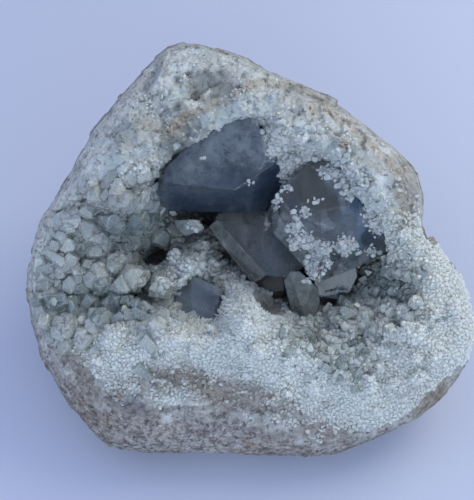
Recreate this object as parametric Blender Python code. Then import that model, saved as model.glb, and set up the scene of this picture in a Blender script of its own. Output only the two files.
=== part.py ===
"""A celestite geode piece: a lump of grey-brown matrix with a broad open face, a crust of
small celestite crystals that lines the face and its hollow, and the large blue crystals
that stand in the hollow.

Everything is shaped in the face frame and in millimetres: u runs to the right and v up
across the open face, and w comes out of it. The face leans back, so that the piece rests on
the flat facet under its rounded back. Meshes are written in metres.
"""

import math
import random
from itertools import combinations

import bmesh
import bpy
from mathutils import Matrix, Vector, noise
from mathutils.geometry import delaunay_2d_cdt

MM = 0.001

# Driving dimensions in millimetres, and angles in degrees
FACE_TILT = 55.0  # how far the open face's normal points above the horizon
BACK_DEPTH = 50.0  # from the outline's plane to the rounded back
SHOULDER = 15.0  # height of the face's broken rim over the outline's plane
BASE_DROP = 48.0  # from the outline's centre down to the flat facet it rests on
CRUST_THICK = 4.6
CRUST_EDGE_THICK = 2.6
CRUST_TAPER = 7.0  # width over which the crust grows from its edge to full thickness
GAP = 0.35  # between pieces that touch
MATRIX_SPACING = 6.0
FLOOR_LOOP = -3.0  # a loop this far inside the crust's edge, which both floors share
CRUST_SPACING = 4.6

# The stone's outline, seen square to its open face: (u, v), anticlockwise from the right
OUTLINE = [
    (59.0, 7.0), (58.8, 16.0), (54.5, 28.0), (40.0, 41.5), (26.0, 51.8), (8.0, 60.0),
    (-5.0, 65.8), (-18.5, 70.0), (-28.5, 67.3), (-40.0, 56.0), (-53.0, 40.0), (-64.5, 20.0),
    (-72.5, 4.0), (-75.3, -10.0), (-72.5, -27.0), (-63.5, -43.5), (-50.0, -56.5), (-38.0, -62.6),
    (-14.0, -66.2), (22.0, -68.6), (42.0, -63.2), (57.0, -56.6), (69.0, -45.0), (75.0, -28.5),
    (72.5, -13.5), (64.0, -0.5),
]

# Where the crust's edge lies, as (direction in degrees, share of the way to the outline)
CRUST_EDGE = [
    (-180, 0.96), (-155, 0.93), (-140, 0.84), (-120, 0.75), (-100, 0.73), (-84, 0.79),
    (-70, 0.89), (-55, 0.94), (-38, 0.92), (-22, 0.96), (8, 0.95), (25, 0.93), (45, 0.95),
    (75, 0.94), (105, 0.955), (125, 0.93), (150, 0.94), (180, 0.96),
]

# Broad forms of the open face: (u, v, half length, half width, turn in degrees, height, steepness)
FACE_FORMS = {
    "main hollow": (9, 3, 39, 20, -14, -37, 2.6),
    "hollow under the back crystal": (-14, 22, 20, 12, 12, -24, 2.4),
    "left basin": (-50, -6, 22, 22, 20, -16, 1.7),
    "passage to the left basin": (-30, 2, 15, 12, 0, -13, 1.6),
    "dark hole": (-34, -3, 5.5, 4.5, 20, -14, 1.5),
    "low slot": (-35, -17.5, 10, 5, -8, -11, 1.5),
    "seat of the front crystal": (-17, -17.5, 10.5, 9.5, -25, -16, 2.6),
    "seat of the low prisms": (17, -19, 13, 8.5, -62, -15, 2.0),
    "notch over the right crystal": (20, 26, 12, 7, -35, -12, 1.8),
    "notch over the back crystal": (-4, 37, 9.5, 7.5, 25, -11, 1.8),
    "bank between the hollows": (-19, -1, 9, 6, 70, 8, 1.6),
    "right trough": (41, -22, 15, 10, 35, -9, 1.4),
    "front lip": (-6, -32, 38, 9, -3, 7, 1.3),
    "spur on the front lip": (-1.5, -23, 6, 5, 60, 12, 1.6),
    "ledge over the right crystal": (46, 29, 12, 7, -38, 5, 1.3),
    "ledge over the back crystal": (18, 40, 20, 7, -20, 5, 1.3),
    "left brow": (-44, 26, 20, 8, 55, 4, 1.3),
    "dull recess at the top": (-13, 53, 11, 6, -12, -4, 1.4),
    "right lobe": (60, -22, 11, 20, 12, 3, 1.4),
}

# The large crystals, as blocks that may run through each other. A block has an outline at a
# level, seen square to the face and anticlockwise, which narrows with depth; the w of its
# foot; and flat front faces, each as (u, v, w) of a point and the rise of w along u and v.
BLOCK_NARROWING = 0.12
LARGE_CRYSTALS = {
    "back_blue_crystal": [
        {
            "outline": [
                (-32.0, 22.2), (-31.3, 12.5), (-28.3, 11.8), (6.1, 11.8), (11.8, 22.2),
                (9.0, 28.6), (1.3, 42.8), (-2.0, 43.8), (-18.2, 36.1), (-30.5, 24.3),
            ],
            "level": 4.0,
            "foot": -22.0,
            "faces": [
                (-6.4, 20.2, 7.6, 0.0, 0.07), (-6.4, 20.2, 7.6, 0.18, 1.7),
                (-4.7, 20.2, 7.6, -0.75, 1.2), (-28.6, 22.6, 7.8, 2.2, 0.0),
            ],
        },
    ],
    "middle_crystal_group": [
        {
            "outline": [
                (5.4, 13.5), (7.4, 6.1), (20.9, -9.4), (25.3, -10.4), (34.0, -7.1), (42.5, -3.4),
                (47.9, -0.3), (47.0, 4.0), (45.0, 12.5), (42.5, 20.5), (37.0, 25.5), (28.6, 28.8),
                (19.9, 29.3), (12.8, 22.6),
            ],
            "level": 4.0,
            "foot": -25.0,
            "faces": [
                (29.7, 12.8, 14.5, 0.30, -0.33), (29.7, 12.8, 14.5, -0.75, -0.25),
                (29.7, 12.8, 14.5, 0.30, 0.48), (29.7, 12.8, 14.5, -0.42, 0.62),
                (9.0, 10.0, 6.0, 2.0, 0.0),
            ],
        },
        {
            "outline": [
                (21.6, -2.7), (22.2, -15.5), (27.0, -18.9), (33.0, -16.2), (36.1, -8.8), (34.4, -2.7),
            ],
            "level": -2.0,
            "foot": -18.0,
            "faces": [(28.0, -10.0, -1.0, 0.0, 0.25), (28.0, -16.0, -2.4, 0.1, 1.0)],
        },
        {
            "outline": [
                (-12.5, 11.1), (4.0, -8.1), (11.8, -8.8), (17.5, -6.0), (18.0, 8.0), (8.0, 14.0),
                (-11.0, 13.5),
            ],
            "level": -8.0,
            "foot": -26.0,
            "faces": [(0.0, 6.0, -8.5, 0.28, -0.20), (3.0, -2.0, -6.1, 0.05, -0.30)],
        },
        {
            "outline": [(-13.5, 9.4), (2.7, -9.8), (5.1, -8.1), (-11.1, 11.1)],
            "level": -11.0,
            "foot": -25.0,
            "faces": [(-5.0, 0.0, -10.5, 0.28, -0.20)],
        },
        {
            "outline": [
                (11.1, -10.1), (13.1, -18.9), (16.9, -26.6), (20.6, -26.6), (23.6, -17.5),
                (22.9, -12.8), (16.9, -7.1), (13.5, -7.1),
            ],
            "level": -1.0,
            "foot": -18.0,
            "faces": [
                (19.0, -17.0, -0.5, 0.05, -0.10), (15.2, -14.0, -1.0, 1.1, 0.27),
                (18.5, -24.0, 0.0, 0.0, 0.9),
            ],
        },
        {
            "outline": [
                (-2.4, -13.5), (-1.3, -16.5), (4.0, -18.5), (11.8, -15.5), (11.0, -7.0), (-1.3, -7.5),
            ],
            "level": -9.5,
            "foot": -21.0,
            "faces": [(5.0, -13.0, -9.5, 0.25, 0.0), (5.0, -14.5, -9.4, 0.1, 0.9)],
        },
    ],
    "front_blue_crystal": [
        {
            "outline": [
                (-19.5, -8.8), (-22.6, -11.8), (-25.3, -19.5), (-26.3, -23.3), (-19.5, -25.2),
                (-9.8, -23.9), (-8.1, -16.9), (-8.1, -14.8),
            ],
            "level": 0.0,
            "foot": -16.0,
            "faces": [(-17.0, -17.0, 0.5, 0.06, -0.35), (-12.0, -18.0, 1.15, -0.55, -0.35)],
        },
    ],
    "clear_point": [
        {
            "outline": [
                (-26.3, 10.4), (-25.3, 8.1), (-21.9, 4.4), (-17.2, 6.0), (-15.2, 7.4), (-17.2, 10.4),
            ],
            "level": 0.0,
            "foot": -15.0,
            "faces": [
                (-20.5, 7.8, 0.3, 0.5, -0.3), (-20.5, 7.8, 0.3, -0.4, -0.3),
                (-20.5, 7.8, 0.3, 0.0, 0.9), (-20.5, 7.8, -0.4, 0.0, 0.0),
            ],
        },
    ],
}

# Small crystals of the crust, by place: (u, v, half length, half width, width, length,
# spacing, share of plain wedges among them)
DRUSE_ZONES = {
    "left basin": (-52, -5, 21, 27, 6.6, 5.4, 6.6, 0.1),
    "middle bank": (-24, -4, 15, 14, 4.4, 4.2, 5.0, 0.3),
    "right trough": (43, -22, 14, 11, 4.6, 4.8, 5.4, 0.4),
    "front lip": (-4, -34, 44, 13, 3.4, 3.4, 6.4, 0.8),
    "right lobe": (55, -30, 20, 36, 3.6, 4.0, 5.8, 0.6),
    "far right corner": (54, -2, 12, 14, 3.6, 3.8, 5.6, 0.5),
    "back wall": (20, 42, 34, 12, 5.0, 2.6, 9.0, 0.8),
    "left brow": (-40, 32, 14, 22, 5.2, 2.6, 8.6, 0.8),
}
DRUSE_SEED = 11
DRUSE_TRIES = 1500
DRUSE_LEAN = 0.55
DRUSE_EDGE_MARGIN = 5.0
DRUSE_ROOT = 1.2  # how far a small crystal's foot lies in the crust
ROOT_MARGIN = 1.4  # least crust left under the root

LUMPS = [(27.0, 2.2), (10.0, 1.5)]  # (wavelength, height) of the stone's broad lumps
BACK_LUMPS = [(34.0, 5.0), (14.0, 2.0)]
BREAK_SIZE = 11.0  # across the flat breaks of the open face's wall
BREAK_TILT = 0.75
BREAK_STEP = 2.2
BREAK_MARGIN = 4.0  # the breaks end this far inside the crust's edge

# Flat breaks on the rounded back: w stays over slope_u * u + slope_v * v + lowest
BACK_BREAKS = [
    (0.75, 0.30, -66.0), (-0.55, 0.70, -66.0), (0.20, 0.95, -73.0), (-0.95, -0.10, -72.0),
    (0.70, -0.60, -84.0), (-0.10, -0.70, -74.0), (0.12, 0.22, -47.5),
]
BACK_LEAST = 0.6  # the breaks leave at least this share of the rounded depth
OUTLINE_STEPS = 8
RING_POINTS = 80
SAME_DIRECTION = 1e-5  # planes closer than this in direction have no corner of their own
SAME_PLACE = 1e-4
RIM_RINGS = [0.985, 0.945, 0.885]
BACK_RINGS = [0.972, 0.92, 0.85, 0.76]


def clear_scene():
    for obj in list(bpy.data.objects):
        bpy.data.objects.remove(obj)


def material(name, colour, roughness, transmission=0.0):
    made = bpy.data.materials.new(name)
    made.use_nodes = True
    shader = made.node_tree.nodes["Principled BSDF"]
    shader.inputs["Base Color"].default_value = (*colour, 1.0)
    shader.inputs["Roughness"].default_value = roughness
    shader.inputs["Metallic"].default_value = 0.0
    shader.inputs["Transmission Weight"].default_value = transmission
    made.diffuse_color = (*colour, 1.0)
    return made


def closed_curve(points, steps):
    """A smooth closed curve through the points, as a list of (x, y)."""
    curve = []
    for i in range(len(points)):
        before, here, there, after = (Vector(points[(i + k) % len(points)]) for k in (-1, 0, 1, 2))
        for step in range(steps):
            t = step / steps
            curve.append(
                0.5
                * (
                    2 * here
                    + (there - before) * t
                    + (2 * before - 5 * here + 4 * there - after) * t**2
                    + (3 * here - 3 * there + after - before) * t**3
                )
            )
    return curve


def interpolated(table, x):
    """The value at x of a table of (position, value), with rounded passages between them."""
    for (x0, y0), (x1, y1) in zip(table, table[1:]):
        if x <= x1:
            t = (x - x0) / (x1 - x0)
            return y0 + (y1 - y0) * t * t * (3 - 2 * t)
    return table[-1][1]


def direction_of(u, v):
    return math.degrees(math.atan2(v, u))


OUTLINE_CURVE = closed_curve(OUTLINE, OUTLINE_STEPS)
RADII = sorted((direction_of(*point), point.length) for point in OUTLINE_CURVE)
RADII = [(RADII[-1][0] - 360, RADII[-1][1]), *RADII, (RADII[0][0] + 360, RADII[0][1])]


def outline_radius(angle):
    for (a0, r0), (a1, r1) in zip(RADII, RADII[1:]):
        if angle <= a1:
            return r0 + (r1 - r0) * (angle - a0) / max(a1 - a0, 1e-6)
    return RADII[-1][1]


def outline_share(u, v):
    """0 at the middle of the face and 1 on the outline."""
    return math.hypot(u, v) / outline_radius(direction_of(u, v))


def lumps(u, v, waves, seed):
    return sum(
        height * noise.noise(Vector((u / length, v / length, seed + length)))
        for length, height in waves
    )


def wall_breaks(u, v):
    """Flat tilted breaks with small steps between them."""
    here = Vector((u, v, 0.0)) / BREAK_SIZE
    seed = noise.voronoi(here)[1][0]
    random_part = noise.cell_vector(seed * 17.0) - Vector((0.5, 0.5, 0.5))
    slope = BREAK_TILT * random_part.xy.dot((here - seed).xy) * BREAK_SIZE
    return slope + BREAK_STEP * random_part.z


def form_height(u, v, form):
    centre_u, centre_v, half_length, half_width, turn, height, steepness = form
    turn = math.radians(turn)
    du, dv = u - centre_u, v - centre_v
    along = (du * math.cos(turn) + dv * math.sin(turn)) / half_length
    across = (dv * math.cos(turn) - du * math.sin(turn)) / half_width
    return height * math.exp(-((along**2 + across**2) ** steepness))


def face_height(u, v):
    """w of the open face, as the crust's own surface has it."""
    share = outline_share(u, v)
    if share >= 1:
        return 0.0
    forms = sum(form_height(u, v, form) for form in FACE_FORMS.values())
    inside = min(max(way_inside_crust(u, v) - BREAK_MARGIN, 0.0) / BREAK_MARGIN, 1.0)
    relief = lumps(u, v, LUMPS, 3.0) + inside * wall_breaks(u, v)
    return math.sqrt(1 - share**4) * (SHOULDER + forms + relief)


def back_height(u, v):
    """w of the rounded back."""
    share = min(outline_share(u, v), 1.0)
    rounded = -math.sqrt(1 - share**2.6) * (BACK_DEPTH + lumps(u, v, BACK_LUMPS, 50.0))
    broken = max(slope_u * u + slope_v * v + lowest for slope_u, slope_v, lowest in BACK_BREAKS)
    return max(rounded, min(broken, BACK_LEAST * rounded))


def edge_share(u, v):
    return interpolated(CRUST_EDGE, direction_of(u, v))


def way_inside_crust(u, v):
    """How far the point lies inside the crust's edge, along its own direction."""
    return (edge_share(u, v) - outline_share(u, v)) * outline_radius(direction_of(u, v))


def crust_thickness(u, v):
    t = min(max(way_inside_crust(u, v) / CRUST_TAPER, 0.0), 1.0)
    return CRUST_EDGE_THICK + (CRUST_THICK - CRUST_EDGE_THICK) * t


def height_below(u, v, thickness):
    """w of the surface that lies at least this thickness inside the open face."""
    lowest = face_height(u, v) - thickness
    for share in (0.4, 0.75, 0.97):
        reach = thickness * share
        for step in range(10):
            turn = 2 * math.pi * step / 10
            beside = face_height(u + reach * math.cos(turn), v + reach * math.sin(turn))
            lowest = min(lowest, beside - thickness * math.sqrt(1 - share**2))
    return lowest


def crust_floor(u, v):
    return height_below(u, v, crust_thickness(u, v))


def matrix_floor(u, v):
    return min(crust_floor(u, v) - GAP, height_below(u, v, crust_thickness(u, v) + GAP))


def face_normal(u, v):
    step = 0.8
    slope_u = (face_height(u + step, v) - face_height(u - step, v)) / (2 * step)
    slope_v = (face_height(u, v + step) - face_height(u, v - step)) / (2 * step)
    return Vector((-slope_u, -slope_v, 1)).normalized()


def ring(share, offset=0.0):
    """Points on one loop round the face: share is a number or a function of direction."""
    points = []
    for step in range(RING_POINTS):
        angle = -180 + 360 * step / RING_POINTS
        reach = share(angle) if callable(share) else share
        radius = outline_radius(angle) * reach + offset
        points.append(
            (radius * math.cos(math.radians(angle)), radius * math.sin(math.radians(angle)))
        )
    return points


def crust_edge_loop(offset=0.0):
    return ring(lambda angle: interpolated(CRUST_EDGE, angle), offset)


def scattered(spacing, keep, seed):
    """Points of a shaken triangular grid across the face, where keep says so."""
    rng = random.Random(seed)
    points = []
    rows = int(160 / (spacing * 0.866))
    for row in range(rows):
        for column in range(int(170 / spacing)):
            u = -85 + (column + 0.5 * (row % 2)) * spacing + rng.uniform(-0.24, 0.24) * spacing
            v = -80 + row * spacing * 0.866 + rng.uniform(-0.24, 0.24) * spacing
            if keep(u, v):
                points.append((u, v))
    return points


def add_sheet(mesh, loops, points, height, facing_up):
    """Adds one triangulated sheet to the mesh and returns its corners on the first loop."""
    flat = [Vector(point) for loop in loops for point in loop] + [Vector(p) for p in points]
    edges, start = [], 0
    for loop in loops:
        edges += [(start + i, start + (i + 1) % len(loop)) for i in range(len(loop))]
        start += len(loop)
    places, _, faces, originals, _, _ = delaunay_2d_cdt(flat, edges, [], 1, 1e-5)
    corners = [mesh.verts.new((u, v, height(u, v))) for u, v in places]
    for face in faces:
        a, b, c = (corners[i] for i in face)
        upward = (b.co.xy - a.co.xy).cross(c.co.xy - a.co.xy) > 0
        mesh.faces.new((a, b, c) if upward == facing_up else (a, c, b))
    found = {original: corners[i] for i, source in enumerate(originals) for original in source}
    return [found[i] for i in range(len(loops[0]))]


def wall(mesh, upper, lower):
    """Joins two loops of corners that lie over each other."""
    for i in range(len(upper)):
        j = (i + 1) % len(upper)
        mesh.faces.new((upper[i], lower[i], lower[j], upper[j]))


def face_outward(mesh):
    bmesh.ops.recalc_face_normals(mesh, faces=mesh.faces)
    if mesh.calc_volume(signed=True) < 0:
        bmesh.ops.reverse_faces(mesh, faces=mesh.faces)


def add_object(name, mesh, finish, parent, helper=False):
    face_outward(mesh)
    data = bpy.data.meshes.new(name)
    mesh.to_mesh(data)
    mesh.free()
    data.transform(Matrix.Scale(MM, 4))
    data.materials.append(finish)
    obj = bpy.data.objects.new(name, data)
    bpy.context.scene.collection.objects.link(obj)
    obj.parent = parent
    if helper:
        obj.hide_render = True
        obj.display_type = "WIRE"
    return obj


def boolean(obj, other, operation, own_overlaps=False):
    modifier = obj.modifiers.new(f"{operation.lower()} {other.name}", "BOOLEAN")
    modifier.object = other
    modifier.operation = operation
    modifier.solver = "EXACT"
    modifier.use_self = own_overlaps


def keep_largest_body(obj):
    """Applies the joins and cuts, and drops the crumbs that they leave loose."""
    mesh = bmesh.new()
    mesh.from_object(obj, bpy.context.evaluated_depsgraph_get())
    left, largest = set(mesh.verts), set()
    while left:
        start = left.pop()
        body, edge = {start}, [start]
        while edge:
            vertex = edge.pop()
            fresh = {link.other_vert(vertex) for link in vertex.link_edges} - body
            body |= fresh
            edge += fresh
        left -= body
        largest = max(largest, body, key=len)
    crumbs = [vertex for vertex in mesh.verts if vertex not in largest]
    bmesh.ops.delete(mesh, geom=crumbs, context="VERTS")
    face_outward(mesh)
    obj.modifiers.clear()
    mesh.to_mesh(obj.data)
    mesh.free()


def matrix_stone(finish, parent):
    """The lump: a rounded back, a rim of rind, and a recess that the crust sits in."""
    mesh = bmesh.new()
    recess_foot, recess_top = GAP, 3 * GAP

    def height(u, v):
        way = way_inside_crust(u, v)
        if way < -2 * GAP:
            return face_height(u, v)
        return matrix_floor(u, v)

    def free_of_loops(u, v):
        way = way_inside_crust(u, v)
        nearest_ring = min(abs(outline_share(u, v) - share) for share in RIM_RINGS + [1.0])
        if way > 0:
            return way > 0.4 * MATRIX_SPACING - FLOOR_LOOP
        return way < -0.4 * MATRIX_SPACING and outline_share(u, v) < 1 and nearest_ring > 0.03

    outline = ring(1.0)
    rims = [
        [p for p in ring(share) if way_inside_crust(*p) < -0.4 * MATRIX_SPACING]
        for share in RIM_RINGS
    ]
    inner = scattered(MATRIX_SPACING, free_of_loops, 5) + [p for rim in rims for p in rim]
    loops = [outline, crust_edge_loop(recess_top), crust_edge_loop(recess_foot)]
    loops.append(crust_edge_loop(FLOOR_LOOP))
    front = add_sheet(mesh, loops, inner, height, True)

    def inside_rings(u, v):
        return outline_share(u, v) < BACK_RINGS[-1] - 0.06

    behind = scattered(MATRIX_SPACING * 1.15, inside_rings, 6)
    behind += [p for share in BACK_RINGS for p in ring(share)]
    back = add_sheet(mesh, [outline], behind, back_height, False)
    for one, other in zip(front, back):
        one.co.z = other.co.z = 0.0
    bmesh.ops.remove_doubles(mesh, verts=mesh.verts, dist=1e-4)
    cut_flat_base(mesh)
    return add_object("matrix", mesh, finish, parent)


def cut_flat_base(mesh):
    """Takes off what lies below the table and closes the cut with one flat facet."""
    up = Vector((0, math.cos(math.radians(FACE_TILT)), math.sin(math.radians(FACE_TILT))))
    cut = bmesh.ops.bisect_plane(
        mesh,
        geom=mesh.verts[:] + mesh.edges[:] + mesh.faces[:],
        plane_co=-BASE_DROP * up,
        plane_no=up,
        clear_inner=True,
    )
    rim = [part for part in cut["geom_cut"] if isinstance(part, bmesh.types.BMEdge)]
    bmesh.ops.contextual_create(mesh, geom=rim)


def chisel_corners(width, depth, length, root):
    """A four-sided prism with a chisel tip, standing on w = 0 with its root below."""
    shoulder, half_ridge = 0.6 * length, 0.3 * width
    x, y = width / 2, depth / 2
    sides = [(-x, -y), (x, -y), (x, y), (-x, y)]
    corners = [(a, b, -root) for a, b in sides] + [(a, b, shoulder) for a, b in sides]
    return corners + [(-half_ridge, 0, length), (half_ridge, 0, length)]


def wedge_corners(width, depth, length, root):
    """A plain roof-shaped crystal on the same foot."""
    half_ridge = 0.22 * width
    x, y = width / 2, depth / 2
    foot = [(-x, -y, -root), (x, -y, -root), (x, y, -root), (-x, y, -root)]
    return foot + [(-half_ridge, 0, length), (half_ridge, 0, length)]


WEDGE_FACES = [(3, 2, 1, 0), (0, 1, 5, 4), (1, 2, 5), (2, 3, 4, 5), (3, 0, 4)]
CHISEL_FACES = [
    (3, 2, 1, 0), (0, 1, 5, 4), (1, 2, 6, 5), (2, 3, 7, 6), (3, 0, 4, 7),
    (4, 5, 9, 8), (6, 7, 8, 9), (5, 6, 9), (7, 4, 8),
]


def block_planes(block, margin=0.0):
    """Outward planes (normal, offset) of a block's flat faces, moved out by the margin."""
    planes = [(Vector((0, 0, -1)), -block["foot"])]
    outline = block["outline"]
    for (u0, v0), (u1, v1) in zip(outline, outline[1:] + outline[:1]):
        outward = Vector((v1 - v0, u0 - u1)).normalized()
        normal = Vector((*outward, -BLOCK_NARROWING)).normalized()
        planes.append((normal, normal.dot(Vector((u0, v0, block["level"])))))
    for u, v, w, rise_u, rise_v in block["faces"]:
        normal = Vector((-rise_u, -rise_v, 1)).normalized()
        planes.append((normal, normal.dot(Vector((u, v, w)))))
    return [(normal, offset + margin) for normal, offset in planes]


def cut_out(planes):
    """The solid that lies inside all the planes."""
    mesh = bmesh.new()
    for trio in combinations(planes, 3):
        slopes = Matrix([normal for normal, _ in trio])
        if abs(slopes.determinant()) < SAME_DIRECTION:
            continue
        corner = slopes.inverted() @ Vector([offset for _, offset in trio])
        if all(normal.dot(corner) < offset + SAME_PLACE for normal, offset in planes):
            mesh.verts.new(corner)
    bmesh.ops.remove_doubles(mesh, verts=mesh.verts, dist=20 * SAME_PLACE)
    bmesh.ops.convex_hull(mesh, input=mesh.verts)
    bmesh.ops.dissolve_limit(mesh, angle_limit=math.radians(1), verts=mesh.verts, edges=mesh.edges)
    return mesh


def druse_places(large_planes):
    """The small crystals, clear of the large ones: (u, v, width, length, plain wedge)."""
    rng = random.Random(DRUSE_SEED)
    places = []
    for zone in DRUSE_ZONES.values():
        centre_u, centre_v, half_u, half_v, width, length, spacing, wedges = zone
        for _ in range(DRUSE_TRIES):
            u = centre_u + rng.uniform(-half_u, half_u)
            v = centre_v + rng.uniform(-half_v, half_v)
            size = rng.uniform(0.65, 1.35)
            plain = rng.random() < wedges
            in_zone = ((u - centre_u) / half_u) ** 2 + ((v - centre_v) / half_v) ** 2 < 1
            if not in_zone or way_inside_crust(u, v) < DRUSE_EDGE_MARGIN:
                continue
            spot = Vector((u, v, face_height(u, v)))
            clear = 0.75 * (width + length) * size
            if any(
                max(normal.dot(spot) - offset for normal, offset in planes) < clear
                for planes in large_planes
            ):
                continue
            apart = spacing * (0.6 + 0.4 * size)
            if all(math.hypot(u - p[0], v - p[1]) > apart for p in places):
                places.append((u, v, width * size, length * size, plain))
    return places


def druse_crystals(large_planes, finish, parent):
    """All the small crystals of the crust, as one helper that is joined to it."""
    rng = random.Random(DRUSE_SEED + 1)
    mesh = bmesh.new()
    for u, v, width, length, plain in druse_places(large_planes):
        lean = Vector([rng.uniform(-DRUSE_LEAN, DRUSE_LEAN) for _ in range(3)])
        axis = (face_normal(u, v) + Vector((0, 0, 0.4)) + lean).normalized()
        turn = axis.to_track_quat("Z", "Y").to_matrix()
        turn = turn @ Matrix.Rotation(rng.uniform(0, math.pi), 3, "Z")
        foot = Vector((u, v, face_height(u, v)))
        crystal_shape = wedge_corners if plain else chisel_corners
        shape = crystal_shape(width, width * rng.uniform(0.5, 0.95), length, DRUSE_ROOT)
        places = [foot + turn @ Vector(corner) for corner in shape]
        if any(place.z < crust_floor(place.x, place.y) + ROOT_MARGIN for place in places):
            continue
        corners = [mesh.verts.new(place) for place in places]
        for face in WEDGE_FACES if plain else CHISEL_FACES:
            mesh.faces.new([corners[i] for i in face])
    return add_object("druse_helper", mesh, finish, parent, helper=True)


def crystal_crust(druse, finish, parent):
    """The celestite layer that lines the open face, with its small crystals grown in."""
    mesh = bmesh.new()
    edge = crust_edge_loop()

    def well_inside(u, v):
        return way_inside_crust(u, v) > 0.5 * CRUST_SPACING

    def well_inside_floor(u, v):
        return way_inside_crust(u, v) > 0.4 * MATRIX_SPACING - FLOOR_LOOP

    upper = add_sheet(mesh, [edge], scattered(CRUST_SPACING, well_inside, 8), face_height, True)
    below = scattered(MATRIX_SPACING, well_inside_floor, 5)
    lower = add_sheet(mesh, [edge, crust_edge_loop(FLOOR_LOOP)], below, crust_floor, False)
    wall(mesh, upper, lower)
    crust = add_object("crystal_crust", mesh, finish, parent)
    boolean(crust, druse, "UNION", own_overlaps=True)
    return crust


def large_crystal(name, blocks, finish, parent):
    """One crystal, or a group grown through each other, with the pockets cut for it."""
    crystal = add_object(name, cut_out(block_planes(blocks[0])), finish, parent)
    for number, block in enumerate(blocks[1:]):
        shape = cut_out(block_planes(block))
        helper = add_object(f"{name}_block_{number}", shape, finish, parent, helper=True)
        boolean(crystal, helper, "UNION")
    pockets = []
    for number, block in enumerate(blocks):
        pocket = cut_out(block_planes(block, GAP))
        pockets.append(add_object(f"{name}_pocket_{number}", pocket, finish, parent, helper=True))
    return pockets


def build():
    clear_scene()
    stone = material("matrix rind", (0.42, 0.38, 0.34), 0.9)
    crust_finish = material("celestite crust", (0.62, 0.70, 0.73), 0.45, 0.15)
    blue = material("blue celestite", (0.22, 0.30, 0.42), 0.12, 0.7)
    pale = material("pale celestite", (0.45, 0.52, 0.53), 0.15, 0.7)
    finishes = {"clear_point": pale}

    frame = bpy.data.objects.new("face_frame", None)
    bpy.context.scene.collection.objects.link(frame)
    matrix = matrix_stone(stone, frame)
    large_planes = [block_planes(block) for blocks in LARGE_CRYSTALS.values() for block in blocks]
    druse = druse_crystals(large_planes, crust_finish, frame)
    crust = crystal_crust(druse, crust_finish, frame)
    for name, blocks in LARGE_CRYSTALS.items():
        for pocket in large_crystal(name, blocks, finishes.get(name, blue), frame):
            boolean(crust, pocket, "DIFFERENCE")
            boolean(matrix, pocket, "DIFFERENCE")
    keep_largest_body(crust)
    keep_largest_body(matrix)
    stand_up(frame, [matrix, crust])


def stand_up(frame, pieces):
    """Leans the face back and sets the middle of the foot of the whole piece on the origin."""
    frame.rotation_euler = (math.radians(90 - FACE_TILT), 0, 0)
    bpy.context.view_layer.update()
    corners = [obj.matrix_world @ vertex.co for obj in pieces for vertex in obj.data.vertices]
    low = [min(corner[axis] for corner in corners) for axis in range(3)]
    high = [max(corner[axis] for corner in corners) for axis in range(3)]
    frame.location = (-(low[0] + high[0]) / 2, -(low[1] + high[1]) / 2, -low[2])


build()
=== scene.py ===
"""A piece of a celestite geode: a lump of grey-brown rind, a pale crust of small crystals over
its broad open face, and large blue crystals in the hollow.
"""

import math
from itertools import combinations

import bmesh
import bpy
import numpy as np
from mathutils import Matrix, Vector
from mathutils.bvhtree import BVHTree


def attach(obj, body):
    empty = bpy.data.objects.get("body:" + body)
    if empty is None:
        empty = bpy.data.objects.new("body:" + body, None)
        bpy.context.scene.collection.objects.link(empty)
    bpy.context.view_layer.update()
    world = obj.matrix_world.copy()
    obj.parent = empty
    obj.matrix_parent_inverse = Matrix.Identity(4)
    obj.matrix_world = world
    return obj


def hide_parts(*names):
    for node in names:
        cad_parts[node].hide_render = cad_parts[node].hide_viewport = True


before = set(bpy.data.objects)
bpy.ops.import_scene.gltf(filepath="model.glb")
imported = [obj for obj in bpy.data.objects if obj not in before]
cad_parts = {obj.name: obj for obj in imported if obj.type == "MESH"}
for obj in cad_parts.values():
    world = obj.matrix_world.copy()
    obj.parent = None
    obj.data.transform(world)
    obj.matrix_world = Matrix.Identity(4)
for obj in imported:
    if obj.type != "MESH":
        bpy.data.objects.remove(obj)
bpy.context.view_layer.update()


# The camera. The piece lies on its back and its open face looks up at 55 degrees. Places on the
# face are (u, v, w) in millimetres: u to the right, v up across the face and w out of it. The
# picture is taken square to the face, and pixel (250, 250) is the middle of the face.
FACE_TILT = math.radians(55)
FACE_MIDDLE = Vector((0.00008, -0.00199, 0.048))
MM = 0.001
MM_PER_PIXEL = 150 / 445
PICTURE_WIDTH, PICTURE_HEIGHT = 474, 500
CAMERA_DISTANCE, SENSOR_WIDTH = 450, 36
NEAREST_SEEN = 0.01

TO_WORLD = (
    Matrix.Translation(FACE_MIDDLE)
    @ Matrix.Rotation(math.pi / 2 - FACE_TILT, 4, "X")
    @ Matrix.Scale(MM, 4)
)
TO_FACE = np.array(TO_WORLD.inverted())


def at_pixel(x, y):
    """The place on the face, (u, v), that this pixel of a 474 x 500 picture shows."""
    return (x - 250) * MM_PER_PIXEL, (250 - y) * MM_PER_PIXEL


def add_object(name, data):
    """Puts a mesh, a light or a camera into the scene."""
    made = bpy.data.objects.new(name, data)
    bpy.context.scene.collection.objects.link(made)
    return made


camera = add_object("camera", bpy.data.cameras.new("camera"))
middle_u, middle_v = at_pixel(PICTURE_WIDTH / 2, PICTURE_HEIGHT / 2)
camera.location = TO_WORLD @ Vector((middle_u, middle_v, CAMERA_DISTANCE))
camera.rotation_euler = (math.pi / 2 - FACE_TILT, 0, 0)
camera.data.sensor_width = SENSOR_WIDTH
camera.data.lens = SENSOR_WIDTH * CAMERA_DISTANCE / MM_PER_PIXEL / PICTURE_HEIGHT
camera.data.clip_start = NEAREST_SEEN
bpy.context.scene.camera = camera


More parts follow.
